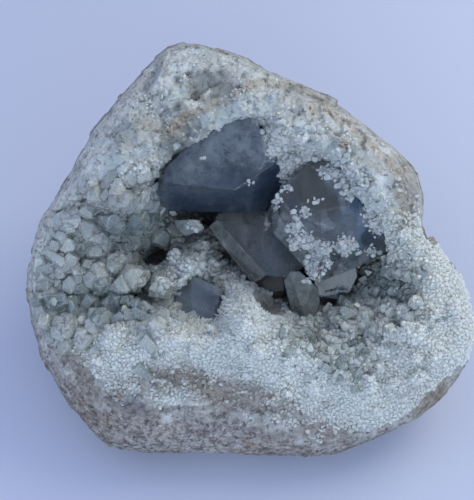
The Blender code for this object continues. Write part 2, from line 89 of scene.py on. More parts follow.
# The floor and the light. The piece lies on a plain pale sheet under a cool overcast sky, which
# is dimmer where the picture is taken from. A warmer window stands up and to the right, so a
# soft bluish shadow lies to the left, and a low wide one stands in front.
FLOOR_COLOUR = (0.545, 0.57, 0.705)
FLOOR_HALF = 4.0
SKY_COLOUR = (0.595, 0.71, 1.0)
SHADED_SIDE = (0.0, -0.574, 0.819)
SHADE_EDGE, SHADE_MIDDLE = 0.6, 0.95
SKY_BRIGHT, SKY_DIM = 0.98, 0.45
WINDOWS = {  # place, width and height, colour, power
    "window": ((0.38, 0.26, 0.46), (0.35, 0.35), (1.0, 0.98, 0.74), 1.6),
    "front window": ((0.05, -0.75, 0.42), (1.1, 0.35), (0.74, 0.88, 1.0), 3.3),
}


class NodeNet:
    """The nodes of a material, a world or a node group, with a short call for each kind.

    The end is the material's shader or the group's output; the start is the group's input.
    """

    def __init__(self, tree, end, start=None):
        self.tree, self.end, self.start = tree, end, start

    def fill(self, node, values):
        """Fills sockets by name or number, each with another socket, a number or a colour."""
        for name, value in values.items():
            socket = node.inputs[name]
            if isinstance(value, bpy.types.NodeSocket):
                self.tree.links.new(value, socket)
            else:
                socket.default_value = (*value, 1) if socket.type == "RGBA" else value
        return node.outputs

    def put(self, values):
        """Fills the shader or the group's output."""
        self.fill(self.end, values)

    def given(self, name):
        """What the group is given."""
        return self.start.outputs[name]

    def add(self, kind, values, **settings):
        """Adds a node with these settings, fills its sockets and gives its outputs."""
        node = self.tree.nodes.new("ShaderNode" + kind)
        for setting, value in settings.items():
            setattr(node, setting, value)
        return self.fill(node, values)

    def place(self, group, values):
        """Places a node group with its own values and gives its outputs."""
        return self.add("Group", values, node_tree=group.tree)

    def mask(self, name):
        return self.add("Attribute", {}, attribute_name=name)["Fac"]

    def math(self, operation, first, second):
        return self.add("Math", {0: first, 1: second}, operation=operation)[0]

    def noise(self, scale, detail=4, roughness=0.6, distortion=0.0, vector=None):
        vector = vector or self.add("TexCoord", {})["Object"]
        values = {"Scale": scale, "Detail": detail, "Roughness": roughness, "Distortion": distortion}
        return self.add("TexNoise", {"Vector": vector, **values})["Fac"]

    def ramp(self, value, stops):
        """A ramp of greys over a value; stops are (position, grey)."""
        node = self.tree.nodes.new("ShaderNodeValToRGB")
        elements = node.color_ramp.elements
        while len(elements) < len(stops):
            elements.new(0.5)
        for element, (position, grey) in zip(elements, stops):
            element.position = position
            element.color = (grey, grey, grey, 1)
        return self.fill(node, {"Fac": value})["Color"]

    def mix(self, share, first, second, blend="MIX"):
        values = {0: share, 6: first, 7: second}
        return self.add("Mix", values, data_type="RGBA", blend_type=blend)[2]

    def lay(self, colour, amount, strength, stain):
        """Lays a stain over a colour, as far as the amount and the strength say."""
        return self.mix(self.math("MULTIPLY", amount, strength), colour, stain)

    def bump(self, height, strength, distance):
        return self.add("Bump", {"Height": height, "Strength": strength, "Distance": distance})["Normal"]


def new_material(name, values):
    """A new material with plain values on its Principled shader, and its nodes."""
    finish = bpy.data.materials.new(name)
    finish.use_nodes = True
    net = NodeNet(finish.node_tree, finish.node_tree.nodes["Principled BSDF"])
    net.put(values)
    return finish, net


floor_mesh = bpy.data.meshes.new("floor")
floor_corners = [(x * FLOOR_HALF, y * FLOOR_HALF, 0) for x, y in ((-1, -1), (1, -1), (1, 1), (-1, 1))]
floor_mesh.from_pydata(floor_corners, [], [(0, 1, 2, 3)])
floor = add_object("floor", floor_mesh)
floor_values = {"Base Color": FLOOR_COLOUR, "Roughness": 0.9, "Specular IOR Level": 0.15}
floor_mesh.materials.append(new_material("pale sheet", floor_values)[0])

world = bpy.data.worlds.new("overcast sky")
world.use_nodes = True
sky = NodeNet(world.node_tree, world.node_tree.nodes["Background"])
direction = sky.add("TexCoord", {})["Generated"]
toward_shade = sky.add("VectorMath", {0: direction, 1: SHADED_SIDE}, operation="DOT_PRODUCT")["Value"]
dimming = {"From Min": SHADE_EDGE, "From Max": SHADE_MIDDLE, "To Min": SKY_BRIGHT, "To Max": SKY_DIM}
sky_strength = sky.add("MapRange", {"Value": toward_shade, **dimming})["Result"]
sky.put({"Color": SKY_COLOUR, "Strength": sky_strength})
bpy.context.scene.world = world

for name, (place, (width, height), colour, power) in WINDOWS.items():
    window = add_object(name, bpy.data.lights.new(name, "AREA"))
    window.data.shape = "RECTANGLE"
    window.data.size = width
    window.data.size_y = height
    window.data.energy = power
    window.data.color = colour
    window.location = place
    window.rotation_euler = (-Vector(place)).to_track_quat("-Z", "Y").to_euler()
bpy.context.scene.view_settings.view_transform = "Standard"


# The stone's surface, both its grey-brown rind and the pale crust of the open face. The packed
# solids are made one skin, and broken faces, lumps and pits are carved into it in code. Masks
# for colours are kept on its corners. The skin is parted into the two pieces further down.
VOXEL = 0.0007
FULLER = [(235, 22, 5.6), (275, 25, 1.2)]  # where the lump stands out further: angle, spread, mm
FULLER_FROM, FULLER_TO = 36, 62
FULLER_ABOVE = 0.008
CRUST_EDGE_FRAY = 2.0
CRUST_EDGE_WIDTH = 1.2
LOW_EDGE_FRAY, FINE_FRAY = 6.5, 3.0
OVERHANG = 6.0  # how far the druse reaches over the lobe's edge, twice the millimetres
ZONE_SOFTNESS = 7.0
ZONE_WANDER = 2.2
# The hollow is painted darker between these depths: painted shade.
HOLLOW_FROM, HOLLOW_TO = -6, 16  # depths below the rim between which the hollow darkens
SHAKE = 0.00009
STILL_BELOW = 0.0025

# How high relief stands or how deep it is cut, in millimetres
ROCK_LUMP, ROCK_BREAK, ROCK_LEDGE, ROCK_GRAIN, ROCK_PIT = 0.4, 0.35, 0.6, 0.3, 0.7
WALL_BREAK, BLOCKY_BREAK, HOLLOW_BREAK = 0.75, 0.5, 0.4
SUGAR_LUMP, SUGAR_GRAIN = 0.8, 0.35
RIDGE_HEIGHT, FLAKE_DEPTH, CRACK_DEPTH, SPECK_DEPTH = 0.9, 0.5, 1.4, 0.5
HOLE_DEPTH, FRONT_DENT_DEPTH = 2.4, 1.7
RECESS_DEPTH, RECESS_ROUGHNESS = 1.1, 0.6

# Pixels of the picture in the middle of each kind of ground on the open face
GROUNDS = {
    "wall": [
        (200, 65), (160, 110), (270, 95), (120, 150), (85, 185), (240, 110), (330, 125), (385, 160),
        (402, 205),
    ],
    "basin": [(55, 225), (95, 235), (60, 275), (105, 285), (135, 245), (140, 300), (60, 315)],
    "bank": [(188, 262), (170, 290), (205, 235)],
    "lip": [
        (75, 350), (130, 345), (190, 345), (245, 320), (255, 360), (300, 370), (350, 400), (390, 425),
    ],
    "lobe": [(412, 240), (440, 290), (450, 340), (420, 380), (400, 345)],
    "trough": [(362, 315), (385, 290), (335, 335), (350, 290)],
    "hollow": [(230, 240), (260, 270), (300, 240), (220, 180), (330, 200), (270, 300)],
}

# Lines through pixels of the picture, and ovals: (middle, half size, turn in degrees if any)
WORN_RIM = [
    (30, 300), (36, 255), (60, 200), (95, 140), (125, 95), (165, 55), (200, 42), (260, 62), (330, 98),
    (380, 140), (412, 180), (424, 215),
]
LOW_RIM = [(30, 300), (45, 350), (85, 405), (140, 436), (230, 448), (330, 450), (400, 425), (452, 385)]
LOW_EDGE = [
    (60, 354), (80, 370), (112, 388), (150, 380), (185, 374), (215, 384), (250, 394), (285, 408),
    (330, 424),
]
LOBE_EDGE = [(443, 258), (464, 292), (472, 330), (468, 356)]
CRACK = [(58, 213), (72, 210), (84, 203), (92, 198)]
FLAKE_RIDGE = [(156, 93), (162, 78), (169, 58)]
TAN_VEINS = [
    [(188, 118), (212, 112), (235, 98), (262, 84), (300, 88), (325, 108), (345, 128)],
    [(345, 128), (362, 142), (382, 162), (396, 182), (404, 206), (398, 228)],
    [(150, 128), (168, 140), (186, 120)], [(98, 192), (118, 200), (140, 190)],
    [(150, 362), (176, 372), (200, 388), (236, 396)],
]
TAN_PATCHES = [
    ((316, 112), (15, 7), -20), ((404, 196), (13, 34), 8), ((172, 134), (12, 7), 30),
    ((222, 392), (26, 11), -8),
]
RUST_SPOTS = [
    ((341, 148), (5, 5)), ((120, 275), (3, 6)), ((103, 240), (4, 4)), ((186, 280), (4, 4)),
    ((302, 366), (3, 3)), ((272, 392), (6, 4)), ((42, 318), (5, 4)), ((143, 385), (6, 3)),
    ((327, 305), (5, 8)),
]
BLUE_PATCHES = [
    ((290, 92), (7, 4)), ((316, 101), (5, 3)), ((285, 118), (5, 7)), ((86, 182), (7, 9)),
    ((73, 333), (7, 10)), ((250, 382), (12, 5)), ((446, 318), (10, 13)), ((103, 355), (12, 10)),
]
GLASSY_PATCHES = [
    ((196, 132), (15, 8), 20), ((178, 152), (17, 15), 35), ((128, 204), (10, 8)), ((345, 155), (8, 9)),
]
DARK_SPECKS = [
    ((179, 84), (4, 4)), ((189, 78), (4, 3)), ((180, 108), (4, 3)), ((215, 98), (6, 2)),
    ((238, 91), (3, 3)), ((147, 89), (4, 5)), ((144, 104), (3, 3)), ((110, 112), (4, 3)),
    ((222, 76), (5, 4)), ((196, 100), (4, 4)), ((289, 91), (5, 4)), ((318, 101), (4, 2)),
    ((326, 131), (4, 3)), ((334, 138), (3, 3)), ((246, 95), (5, 3)), ((178, 112), (4, 3)),
    ((143, 338), (5, 2)), ((378, 328), (5, 4)), ((405, 268), (4, 3)), ((366, 306), (4, 6)),
]
DARK_HOLES = [
    ((152, 256), (13, 10)), ((131, 308), (6, 4)), ((226, 256), (5, 10), 30), ((127, 268), (4, 4)),
    ((269, 303), (19, 7), -38), ((208, 219), (7, 4)), ((333, 306), (9, 4)), ((376, 262), (13, 3), 35),
]
PALE_PATCHES = [
    ((130, 110), (13, 10)), ((98, 163), (11, 15), -30), ((345, 128), (9, 6)), ((186, 62), (10, 8)),
    ((158, 378), (9, 5)), ((108, 402), (7, 9), -30), ((66, 340), (8, 6)), ((386, 150), (10, 8), 30),
    ((40, 302), (7, 16)), ((112, 362), (16, 10), -30), ((70, 370), (10, 4), -35),
]
GREY_PATCHES = [
    ((132, 147), (19, 28), -20), ((405, 200), (12, 30), 8), ((350, 152), (10, 10)),
    ((212, 106), (10, 5)),
]
LOW_PATCHES = [
    ((180, 375), (30, 9)), ((246, 394), (31, 14), -10), ((322, 430), (32, 9), -8),
    ((431, 397), (16, 10), 35), ((80, 360), (14, 8), -45), ((128, 398), (22, 9), -15),
]
AQUA_PATCHES = [
    ((222, 119), (26, 7), 25), ((262, 108), (20, 9), -10), ((324, 156), (14, 11), -20),
    ((180, 100), (14, 8), 40), ((120, 165), (14, 10), 30), ((352, 178), (8, 9)), ((372, 205), (8, 14)),
    ((300, 130), (12, 8)),
]
DULL_HOLLOW = [((380, 285), (22, 12), -30), ((330, 312), (12, 8)), ((232, 285), (12, 8))]
PURPLE_PATCH = ((140, 397), (24, 13), -12)
LOW_GREY_PATCH = ((130, 397), (17, 10), -15)
BROWN_PATCH = ((432, 397), (30, 10), 38)
RECESS = ((210, 89), (30, 15), 12)
FLAKE = ((157, 78), (15, 5.5), 61)
FRONT_DENT = ((202, 281), (17, 7), -27)
FIRM = 2.0  # steepness of an oval with a firm edge

# Half the widths of the lines, in pixels
WORN_RIM_WIDTH, LOW_RIM_WIDTH, LOW_EDGE_WIDTH, LOBE_EDGE_WIDTH = 15, 26, 16, 14
CRACK_WIDTH, RIDGE_WIDTH, VEIN_WIDTH = 1.6, 2.0, 5


def on_face(points):
    """World points as places (u, v, w) on the face."""
    return points @ TO_FACE[:3, :3].T + TO_FACE[:3, 3]


def all_of(values, kind, width, number=float):
    """One property of all corners or faces of a mesh, a row for each."""
    flat = np.empty(len(values) * width, number)
    values.foreach_get(kind, flat)
    return flat.reshape(-1, width)


def scatter(cells, seed):
    """A fixed random number from -1 to 1 for each lattice cell."""
    key = cells @ np.array([73856093, 19349663, 83492791]) + seed * 2654435761
    key = (key ^ (key >> 15)) * 2246822519 & 0xFFFFFFFF
    key = (key ^ (key >> 13)) * 3266489917 & 0xFFFFFFFF
    return ((key ^ (key >> 16)) & 0xFFFFFF) / 0x7FFFFF - 1


def lattice(points, size, seed):
    """Smooth noise from -1 to 1, with lumps of that size."""
    scaled = points / size + seed * 7.31
    cell = np.floor(scaled).astype(np.int64)
    fade = scaled - cell
    fade = fade * fade * (3 - 2 * fade)
    total = np.zeros(len(points))
    for corner in range(8):
        step = np.array([corner & 1, corner >> 1 & 1, corner >> 2 & 1])
        weight = np.prod(np.where(step, fade, 1 - fade), axis=1)
        total += weight * scatter(cell + step, seed)
    return total


def rough(points, size, seed, octaves=3):
    """Noise with finer noise on it."""
    return sum(lattice(points, size / 2**k, seed + k) / 2**k for k in range(octaves)) / 1.6


def broken(points, size, seed, tilt, step):
    """Heights of flat tilted breaks of that size with steps between them, and a tone for each."""
    scaled = points / size
    cell = np.floor(scaled).astype(np.int64)
    nearest = np.full(len(points), np.inf)
    height, tone = np.zeros(len(points)), np.zeros(len(points))
    for index in np.ndindex(3, 3, 3):
        beside = cell + np.array(index) - 1
        jitter = np.stack([scatter(beside, seed + k) for k in range(3)], 1)
        offset = scaled - (beside + 0.5 + 0.42 * jitter)
        distance = np.einsum("ij,ij->i", offset, offset)
        slopes = np.stack([scatter(beside, seed + 3 + k) for k in range(3)], 1)
        plane = tilt * size * np.einsum("ij,ij->i", offset, slopes) + step * slopes[:, 0]
        closer = distance < nearest
        nearest = np.where(closer, distance, nearest)
        height = np.where(closer, plane, height)
        tone = np.where(closer, slopes[:, 1], tone)
    return height, tone


def smooth_step(value, low, high):
    share = np.clip((value - low) / (high - low), 0, 1)
    return share * share * (3 - 2 * share)


def blob(places, middle, half_size, turn=0.0, steepness=1.5):
    """A soft-edged oval mask round a pixel of the picture, sizes in pixels."""
    u, v = at_pixel(*middle)
    turn = math.radians(turn)
    du, dv = (places[:, 0] - u) / MM_PER_PIXEL, (places[:, 1] - v) / MM_PER_PIXEL
    along = (du * math.cos(turn) + dv * math.sin(turn)) / half_size[0]
    across = (dv * math.cos(turn) - du * math.sin(turn)) / half_size[1]
    return np.exp(-((along**2 + across**2) ** steepness))


def blobs(places, ovals, steepness=1.5):
    return sum(blob(places, *oval, steepness=steepness) for oval in ovals)


def along_line(places, pixels):
    """How far along a line through pixels of the picture each place lies, and how far off it."""
    along, off, passed = np.zeros(len(places)), np.full(len(places), np.inf), 0.0
    points = [np.array(at_pixel(*pixel)) for pixel in pixels]
    for start, end in zip(points, points[1:]):
        run = end - start
        length = np.linalg.norm(run)
        share = np.clip((places[:, :2] - start) @ run / length**2, 0, 1)
        away = np.linalg.norm(places[:, :2] - start - share[:, None] * run, axis=1)
        along = np.where(away < off, passed + share * length, along)
        off = np.minimum(off, away)
        passed += length
    return along, off


def streak(places, pixels, half_width):
    """A soft mask along a line through pixels of the picture, half its width in pixels."""
    return np.exp(-((along_line(places, pixels)[1] / MM_PER_PIXEL / half_width) ** 2))


def patchy(amount, share, swing, noise):
    """A mask from 0 to 1 that noise makes uneven."""
    return np.clip(amount * (share + swing * noise), 0, 1)


def ground_masks(places):
    """For each kind of ground a mask from 0 to 1; they add up to 1 everywhere."""
    wandering = places[:, :2] + ZONE_WANDER * np.stack([rough(places, 8, 60), rough(places, 8, 70)], 1)
    closest = {}
    for kind, pixels in GROUNDS.items():
        middles = np.array([at_pixel(*pixel) for pixel in pixels])
        apart = np.linalg.norm(wandering[:, None] - middles[None], axis=2)
        closest[kind] = apart.min(axis=1) / MM_PER_PIXEL
    nearest = np.min(list(closest.values()), axis=0)
    weights = {kind: np.exp((nearest - apart) / ZONE_SOFTNESS) for kind, apart in closest.items()}
    total = sum(weights.values())
    return {kind: weight / total for kind, weight in weights.items()}


def low_edge_stain(places):
    """The dirty band along the crust's lower edge, where crust and rind run into each other."""
    return np.clip(0.55 * streak(places, LOW_EDGE, LOW_EDGE_WIDTH) + blobs(places, LOW_PATCHES, 1.3), 0, 1.1)


def tan_stain(places):
    return sum(streak(places, vein, VEIN_WIDTH) for vein in TAN_VEINS) + blobs(places, TAN_PATCHES)


def distance_to(node, points):
    """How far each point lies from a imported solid, in millimetres."""
    tree = BVHTree.FromObject(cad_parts[node], bpy.context.evaluated_depsgraph_get())
    return np.array([tree.find_nearest(Vector(point))[3] for point in points]) / MM


joined = bmesh.new()
for node in ("matrix", "crystal_crust"):
    joined.from_mesh(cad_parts[node].data)
skin_mesh = bpy.data.meshes.new("skin")
joined.to_mesh(skin_mesh)
joined.free()
skin = add_object("skin", skin_mesh)
remesh = skin.modifiers.new("skin", "REMESH")
remesh.mode = "VOXEL"
remesh.voxel_size = VOXEL
skin_mesh = bpy.data.meshes.new_from_object(skin.evaluated_get(bpy.context.evaluated_depsgraph_get()))
bpy.data.objects.remove(skin)

corners = all_of(skin_mesh.vertices, "co", 3)
normals = all_of(skin_mesh.vertex_normals, "vector", 3)
quads = all_of(skin_mesh.polygons, "vertices", 4, np.int64)
count = len(corners)
places = on_face(corners)
facing = (normals @ TO_FACE[:3, :3].T)[:, 2] * MM

# How far the corner lies on the crust's side of the crust's edge
past_edge = distance_to("matrix", corners) - distance_to("crystal_crust", corners)

# The lump's lower left is a little fuller than the solids are
reach = np.linalg.norm(places[:, :2], axis=1)
angle = np.degrees(np.arctan2(places[:, 1], places[:, 0])) % 360
push = sum(amount * np.exp(-(((angle - middle) / spread) ** 2)) for middle, spread, amount in FULLER)
push *= smooth_step(reach, FULLER_FROM, FULLER_TO) * np.clip(corners[:, 2] / FULLER_ABOVE, 0, 1)
pushed = np.stack([places[:, 0], places[:, 1], np.zeros(count)], 1) / np.maximum(reach, 1)[:, None]
pushed *= push[:, None]
corners += pushed @ np.array(TO_WORLD)[:3, :3].T
places += pushed

# The crust's edge is frayed, most of all along its lower side
low_edge = low_edge_stain(places)
past_edge += CRUST_EDGE_FRAY * rough(places, 9, 41)
past_edge += OVERHANG * streak(places, LOBE_EDGE, LOBE_EDGE_WIDTH)
past_edge += low_edge * (LOW_EDGE_FRAY * rough(places, 5, 43) + FINE_FRAY * rough(places, 2, 47))
on_crust = np.clip(past_edge / CRUST_EDGE_WIDTH + 0.5, 0, 1)

# The hollow's own depth below the rim, the kinds of ground, and stains and painted shade given on the picture
ground = ground_masks(places)
# deep is how far below the rim a place lies; as a mask it paints the hollow darker, as painted shade.
deep = smooth_step(-places[:, 2], HOLLOW_FROM, HOLLOW_TO) * (1 - 0.45 * ground["basin"])
sugary = ground["lip"] + ground["lobe"]
blocky = ground["basin"] + ground["bank"] + ground["trough"]
recess = blob(places, *RECESS, FIRM)
flake = blob(places, *FLAKE, FIRM)
crack = streak(places, CRACK, CRACK_WIDTH)
# The dark specks are small pits, carved in and painted near black along with the crack: painted shade.
specks = blobs(places, DARK_SPECKS)
# The dark holes are carved in and painted dark as well: painted shade in the holes.
holes = np.clip(blobs(places, DARK_HOLES), 0, 1)
tan = tan_stain(places)
rust = blobs(places, RUST_SPOTS)
blue = blobs(places, BLUE_PATCHES)
glassy = blobs(places, GLASSY_PATCHES)
aqua = blobs(places, AQUA_PATCHES)
wobble = rough(places, 3.2, 80)
front = smooth_step(facing, 0.12, 0.55)
seen = smooth_step(facing, -0.2, 0.1)
rim = streak(places, LOW_RIM, LOW_RIM_WIDTH) * (1 - on_crust)
rim = np.maximum(streak(places, WORN_RIM, WORN_RIM_WIDTH), rim)
rim *= 1 - 0.9 * sugary * on_crust
low_band = smooth_step(-places[:, 1] + 0.12 * places[:, 0], 26, 36)
low_band *= 1 - smooth_step(places[:, 0], 40, 58)

# The relief, first of the rind and then of the crust
coarse_height, coarse_tone = broken(places, size=7.5, seed=5, tilt=0.3, step=0.45)
fine_height, fine_tone = broken(places, size=3.4, seed=9, tilt=0.36, step=0.3)
grain_height, grain_tone = broken(places, size=1.9, seed=31, tilt=0.4, step=0.16)
rock_height, rock_tone = broken(places, size=7, seed=2, tilt=0.35, step=0.5)
ledge_height, ledge_tone = broken(places, size=17, seed=24, tilt=0.22, step=0.9)
pitted = smooth_step(rough(places, 3.2, 12), 0.42, 0.62)

carved = ROCK_LUMP * rough(places, 11, 1) + ROCK_BREAK * rock_height + ROCK_LEDGE * ledge_height
carved += ROCK_GRAIN * rough(places, 2.4, 3) - ROCK_PIT * pitted
carved *= (1 - on_crust) * (1 - 0.6 * rim)
wall_relief = WALL_BREAK * ground["wall"] * (1 - 0.7 * rim) + BLOCKY_BREAK * blocky
wall_relief += HOLLOW_BREAK * ground["hollow"]
carved += on_crust * wall_relief * (coarse_height + fine_height + 0.5 * grain_height)
sugar_relief = SUGAR_LUMP * rough(places, 7, 15, 2) + SUGAR_GRAIN * rough(places, 2.4, 17, 2)
carved += on_crust * sugary * sugar_relief
carved += RIDGE_HEIGHT * streak(places, FLAKE_RIDGE, RIDGE_WIDTH)
carved -= FLAKE_DEPTH * flake + CRACK_DEPTH * crack
carved -= HOLE_DEPTH * holes + FRONT_DENT_DEPTH * blob(places, *FRONT_DENT, FIRM)
carved -= recess * (RECESS_DEPTH + RECESS_ROUGHNESS * rough(places, 5, 33)) + SPECK_DEPTH * specks
resting = np.clip(corners[:, 2] / STILL_BELOW, 0, 1)
corners += normals * (carved * resting)[:, None] * MM
own_cell = np.arange(count)[:, None] * np.ones(3, np.int64)
shaken = np.stack([scatter(own_cell, 90 + k) for k in range(3)], 1)
corners += SHAKE * shaken * (resting * on_crust * (1 - 0.5 * sugary))[:, None]
corners[:, 2] = np.maximum(corners[:, 2], 0)
places = on_face(corners)

# Where crust shows on the rind's own side of the edge, and where the lobe's edge is brown
brown = seen * blob(places, *BROWN_PATCH, FIRM) * patchy(1, 1, 1.2, rough(places, 3, 48))
worn_crust = smooth_step(past_edge + 5 * rough(places, 4, 45), -5, 1) * smooth_step(facing, -0.1, 0.3)
worn_crust = 0.85 * np.maximum(front * (1 - low_band), worn_crust)
clean_crust = smooth_step(past_edge, 2, 6) * (1 - np.clip(1.5 * low_edge, 0, 1))
low_grey = seen * blob(places, *LOW_GREY_PATCH) * (0.9 + 0.9 * wobble)
coarse_and_fine = rough(places, 5, 84) + rough(places, 1.6, 85)

# Amounts from 0 to 1 for the materials; patchy ones are made uneven by noise
masks = {
    "deep": deep,
    "crust": np.maximum(on_crust, worn_crust) * (1 - 0.9 * brown),
    "sugary": sugary * clean_crust,
    "blocky": blocky,
    "recess": patchy(recess, 0.85, 0.9, rough(places, 4, 89)),
    "tan": patchy(tan, 0.85, 0.9, wobble),
    "rust": patchy(rust, 0.8, 0.8, wobble),
    "blue": patchy(blue, 0.9, 0.8, wobble),
    "pale": seen * patchy(blobs(places, PALE_PATCHES), 0.7, 1.2, rough(places, 4, 87)),
    "grey": patchy(blobs(places, GREY_PATCHES), 0.7, 1.2, rough(places, 5, 86)),
    "glassy": patchy(glassy, 0.95, 0.6, wobble),
    # specks: the pits, the crack and spots in the recess painted near black, as painted shade
    "specks": np.clip(specks + crack + 0.3 * recess * (wobble > 0.35), 0, 1),
    "flake": np.clip(flake + low_grey, 0, 1),
    # holes: painted shade in the dark holes
    "holes": holes,
    "brownish": patchy(blobs(places, DULL_HOLLOW), 0.8, 1, wobble),
    "aqua": patchy(aqua, 0.9, 0.7, wobble),
    "low edge": patchy(low_edge, 0.85, 0.9, coarse_and_fine),
    "rim": rim,
    "gritty": np.clip(0.75 * low_edge + 0.5 * tan + brown, 0, 0.8),
    "break tone": 0.5 + 0.22 * coarse_tone + 0.18 * fine_tone + 0.1 * grain_tone,
    # rock tone is darker where the rind is carved into pits: painted shade in the pits.
    "rock tone": 0.5 + 0.3 * ledge_tone + 0.2 * rock_tone - 0.25 * pitted,
    "purple": seen * blob(places, *PURPLE_PATCH, FIRM) * patchy(1, 0.9, 0.9, rough(places, 4, 88)),
    "brown": brown,
}


# Places measured along the nearer rim, off it and down, so that streaks can follow the rim
STRETCHED_ALONG = 0.22
worn_line, low_line = along_line(places, WORN_RIM), along_line(places, LOW_RIM)
upper = worn_line[1] < low_line[1]
along_rim, off_rim = (np.where(upper, worn, low) for worn, low in zip(worn_line, low_line))
streak_space = np.stack([STRETCHED_ALONG * along_rim, off_rim, places[:, 2]], 1)


def keep_mask(mesh, name, values, domain="POINT"):
    mesh.attributes.new(name, "FLOAT", domain).data.foreach_set("value", values)


def part_of_skin(name, chosen):
    """A piece from the chosen quads of the skin, with the masks on its corners."""
    used = np.unique(quads[chosen])
    renumber = np.full(count, -1)
    renumber[used] = np.arange(len(used))
    mesh = bpy.data.meshes.new(name)
    mesh.from_pydata(corners[used].tolist(), [], renumber[quads[chosen]].tolist())
    mesh.shade_smooth()
    for mask, values in masks.items():
        keep_mask(mesh, mask, values[used])
    along = mesh.attributes.new("streak space", "FLOAT_VECTOR", "POINT")
    along.data.foreach_set("vector", streak_space[used].ravel())
    return add_object(name, mesh)


MOSTLY_CRUST = 0.5
crust_quads = on_crust[quads].mean(axis=1) > MOSTLY_CRUST


# The grey-brown rind and broken back of the lump, a fine-grained weathered rock. Its node stays
# in the simulation; this skin shows in its place.
rind = part_of_skin("matrix_rind", ~crust_quads)
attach(rind, "root")
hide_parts("matrix")


def new_group(name, colours, numbers, outputs):
    """A node group that is given these colours and numbers, and its nodes."""
    tree = bpy.data.node_groups.new(name, "ShaderNodeTree")
    for socket in colours + numbers:
        kind = "NodeSocketColor" if socket in colours else "NodeSocketFloat"
        tree.interface.new_socket(socket, in_out="INPUT", socket_type=kind)
    for socket in outputs:
        kind = "NodeSocketColor" if socket == "Color" else "NodeSocketFloat"
        tree.interface.new_socket(socket, in_out="OUTPUT", socket_type=kind)
    return NodeNet(tree, tree.nodes.new("NodeGroupOutput"), tree.nodes.new("NodeGroupInput"))


# Speckled rock: grains of one colour over patches of a second, with pits painted in a darker colour as
# painted shade, and a bump height in which the pits are sunk
speckled = new_group("speckled rock", ["Base", "Patch", "Grain", "Pit"], ["Pits"], ["Color", "Height"])
patches = speckled.ramp(speckled.noise(95, 6, 0.68, 0.4), [(0.4, 0), (0.6, 1)])
grains = speckled.ramp(speckled.noise(850, 3, 0.7), [(0.48, 0), (0.64, 1)])
pits = speckled.ramp(speckled.noise(480, 4, 0.72, 0.3), [(0.33, 1), (0.43, 0)])
pits = speckled.math("MULTIPLY", pits, speckled.given("Pits"))
colour = speckled.mix(patches, speckled.given("Base"), speckled.given("Patch"))
colour = speckled.mix(grains, colour, speckled.given("Grain"))
colour = speckled.mix(pits, colour, speckled.given("Pit"))
height = speckled.math("SUBTRACT", speckled.noise(700, 8, 0.72), pits)
speckled.put({"Color": colour, "Height": height})

# Rim streaks: pale and dark streaks that follow the rim, over a colour
streaked = new_group("rim streaks", ["Color", "Pale", "Dark"], [], ["Color"])
rim_vector = streaked.add("Attribute", {}, attribute_name="streak space")["Vector"]
colour = streaked.given("Color")
for scale, low, high, strength, tone in (
    (0.5, 0.5, 0.62, 0.75, "Pale"),
    (1.5, 0.52, 0.60, 0.55, "Pale"),
    (0.75, 0.53, 0.62, 0.7, "Dark"),
    (1.9, 0.55, 0.64, 0.75, "Dark"),
):
    spread = streaked.ramp(streaked.noise(scale, 6, 0.7, 0.4, rim_vector), [(low, 0), (high, 1)])
    amount = streaked.math("MULTIPLY", spread, streaked.mask("rim"))
    colour = streaked.lay(colour, amount, strength, streaked.given(tone))
streaked.put({"Color": colour})

# Stained celestite: white to grey and massive, with its stains, as crust and worn rim show it, and with
# painted shade in its pits, crack, holes and the depths of the hollow, and painted shading from its bump
# height.
# The inputs say how far the sugary and the blocky ground are tinted.
STAINS_AND_SHADE = [  # mask, strength, colour
    ("tan", 0.8, (0.42, 0.355, 0.265)),
    ("grey", 0.8, (0.32, 0.33, 0.31)),
    ("glassy", 0.85, (0.19, 0.205, 0.185)),
    ("recess", 0.75, (0.225, 0.225, 0.20)),
    ("aqua", 0.7, (0.56, 0.62, 0.61)),
    ("low edge", 0.9, (0.31, 0.27, 0.235)),
    ("flake", 0.8, (0.30, 0.33, 0.36)),
    ("pale", 0.75, (0.74, 0.75, 0.725)),
    ("blue", 0.5, (0.36, 0.42, 0.48)),
    ("brownish", 0.7, (0.26, 0.225, 0.17)),
    ("rust", 0.7, (0.26, 0.15, 0.06)),
    # specks, deep and holes below are painted shade: the pits, the crack, the hollow's depths and its holes
    # painted darker.
    ("specks", 0.75, (0.12, 0.115, 0.11)),
    ("deep", 0.7, (0.15, 0.15, 0.125)),
    ("holes", 0.9, (0.14, 0.13, 0.11)),
]
celestite = new_group("stained celestite", [], ["Sugary", "Blocky"], ["Color", "Height"])
celestite_speckles = {
    "Base": (0.45, 0.47, 0.455),
    "Patch": (0.60, 0.605, 0.57),
    "Grain": (0.75, 0.76, 0.73),
    # Pit: painted shade in the bump's pits
    "Pit": (0.24, 0.22, 0.20),
    "Pits": 0.55,
}
colour, height = celestite.place(speckled, celestite_speckles)
tone = celestite.ramp(celestite.mask("break tone"), [(0.2, 0.68), (0.55, 0.97), (0.8, 1.12)])
colour = celestite.mix(1.0, colour, tone, "MULTIPLY")
for scale, roughness, distortion, low, high, strength, blotch in (
    (160, 0.7, 0.6, 0.5, 0.66, 0.35, (0.62, 0.57, 0.46)),
    (120, 0.62, 0.9, 0.52, 0.60, 0.55, (0.34, 0.375, 0.37)),
    (150, 0.62, 0.9, 0.54, 0.62, 0.6, (0.78, 0.79, 0.765)),
):
    spread = celestite.ramp(celestite.noise(scale, 5, roughness, distortion), [(low, 0), (high, 1)])
    colour = celestite.lay(colour, spread, strength, blotch)
colour = celestite.lay(colour, celestite.mask("sugary"), celestite.given("Sugary"), (0.80, 0.83, 0.80))
colour = celestite.lay(colour, celestite.mask("blocky"), celestite.given("Blocky"), (0.54, 0.60, 0.57))
for mask, strength, stain in STAINS_AND_SHADE:
    colour = celestite.lay(colour, celestite.mask(mask), strength, stain)
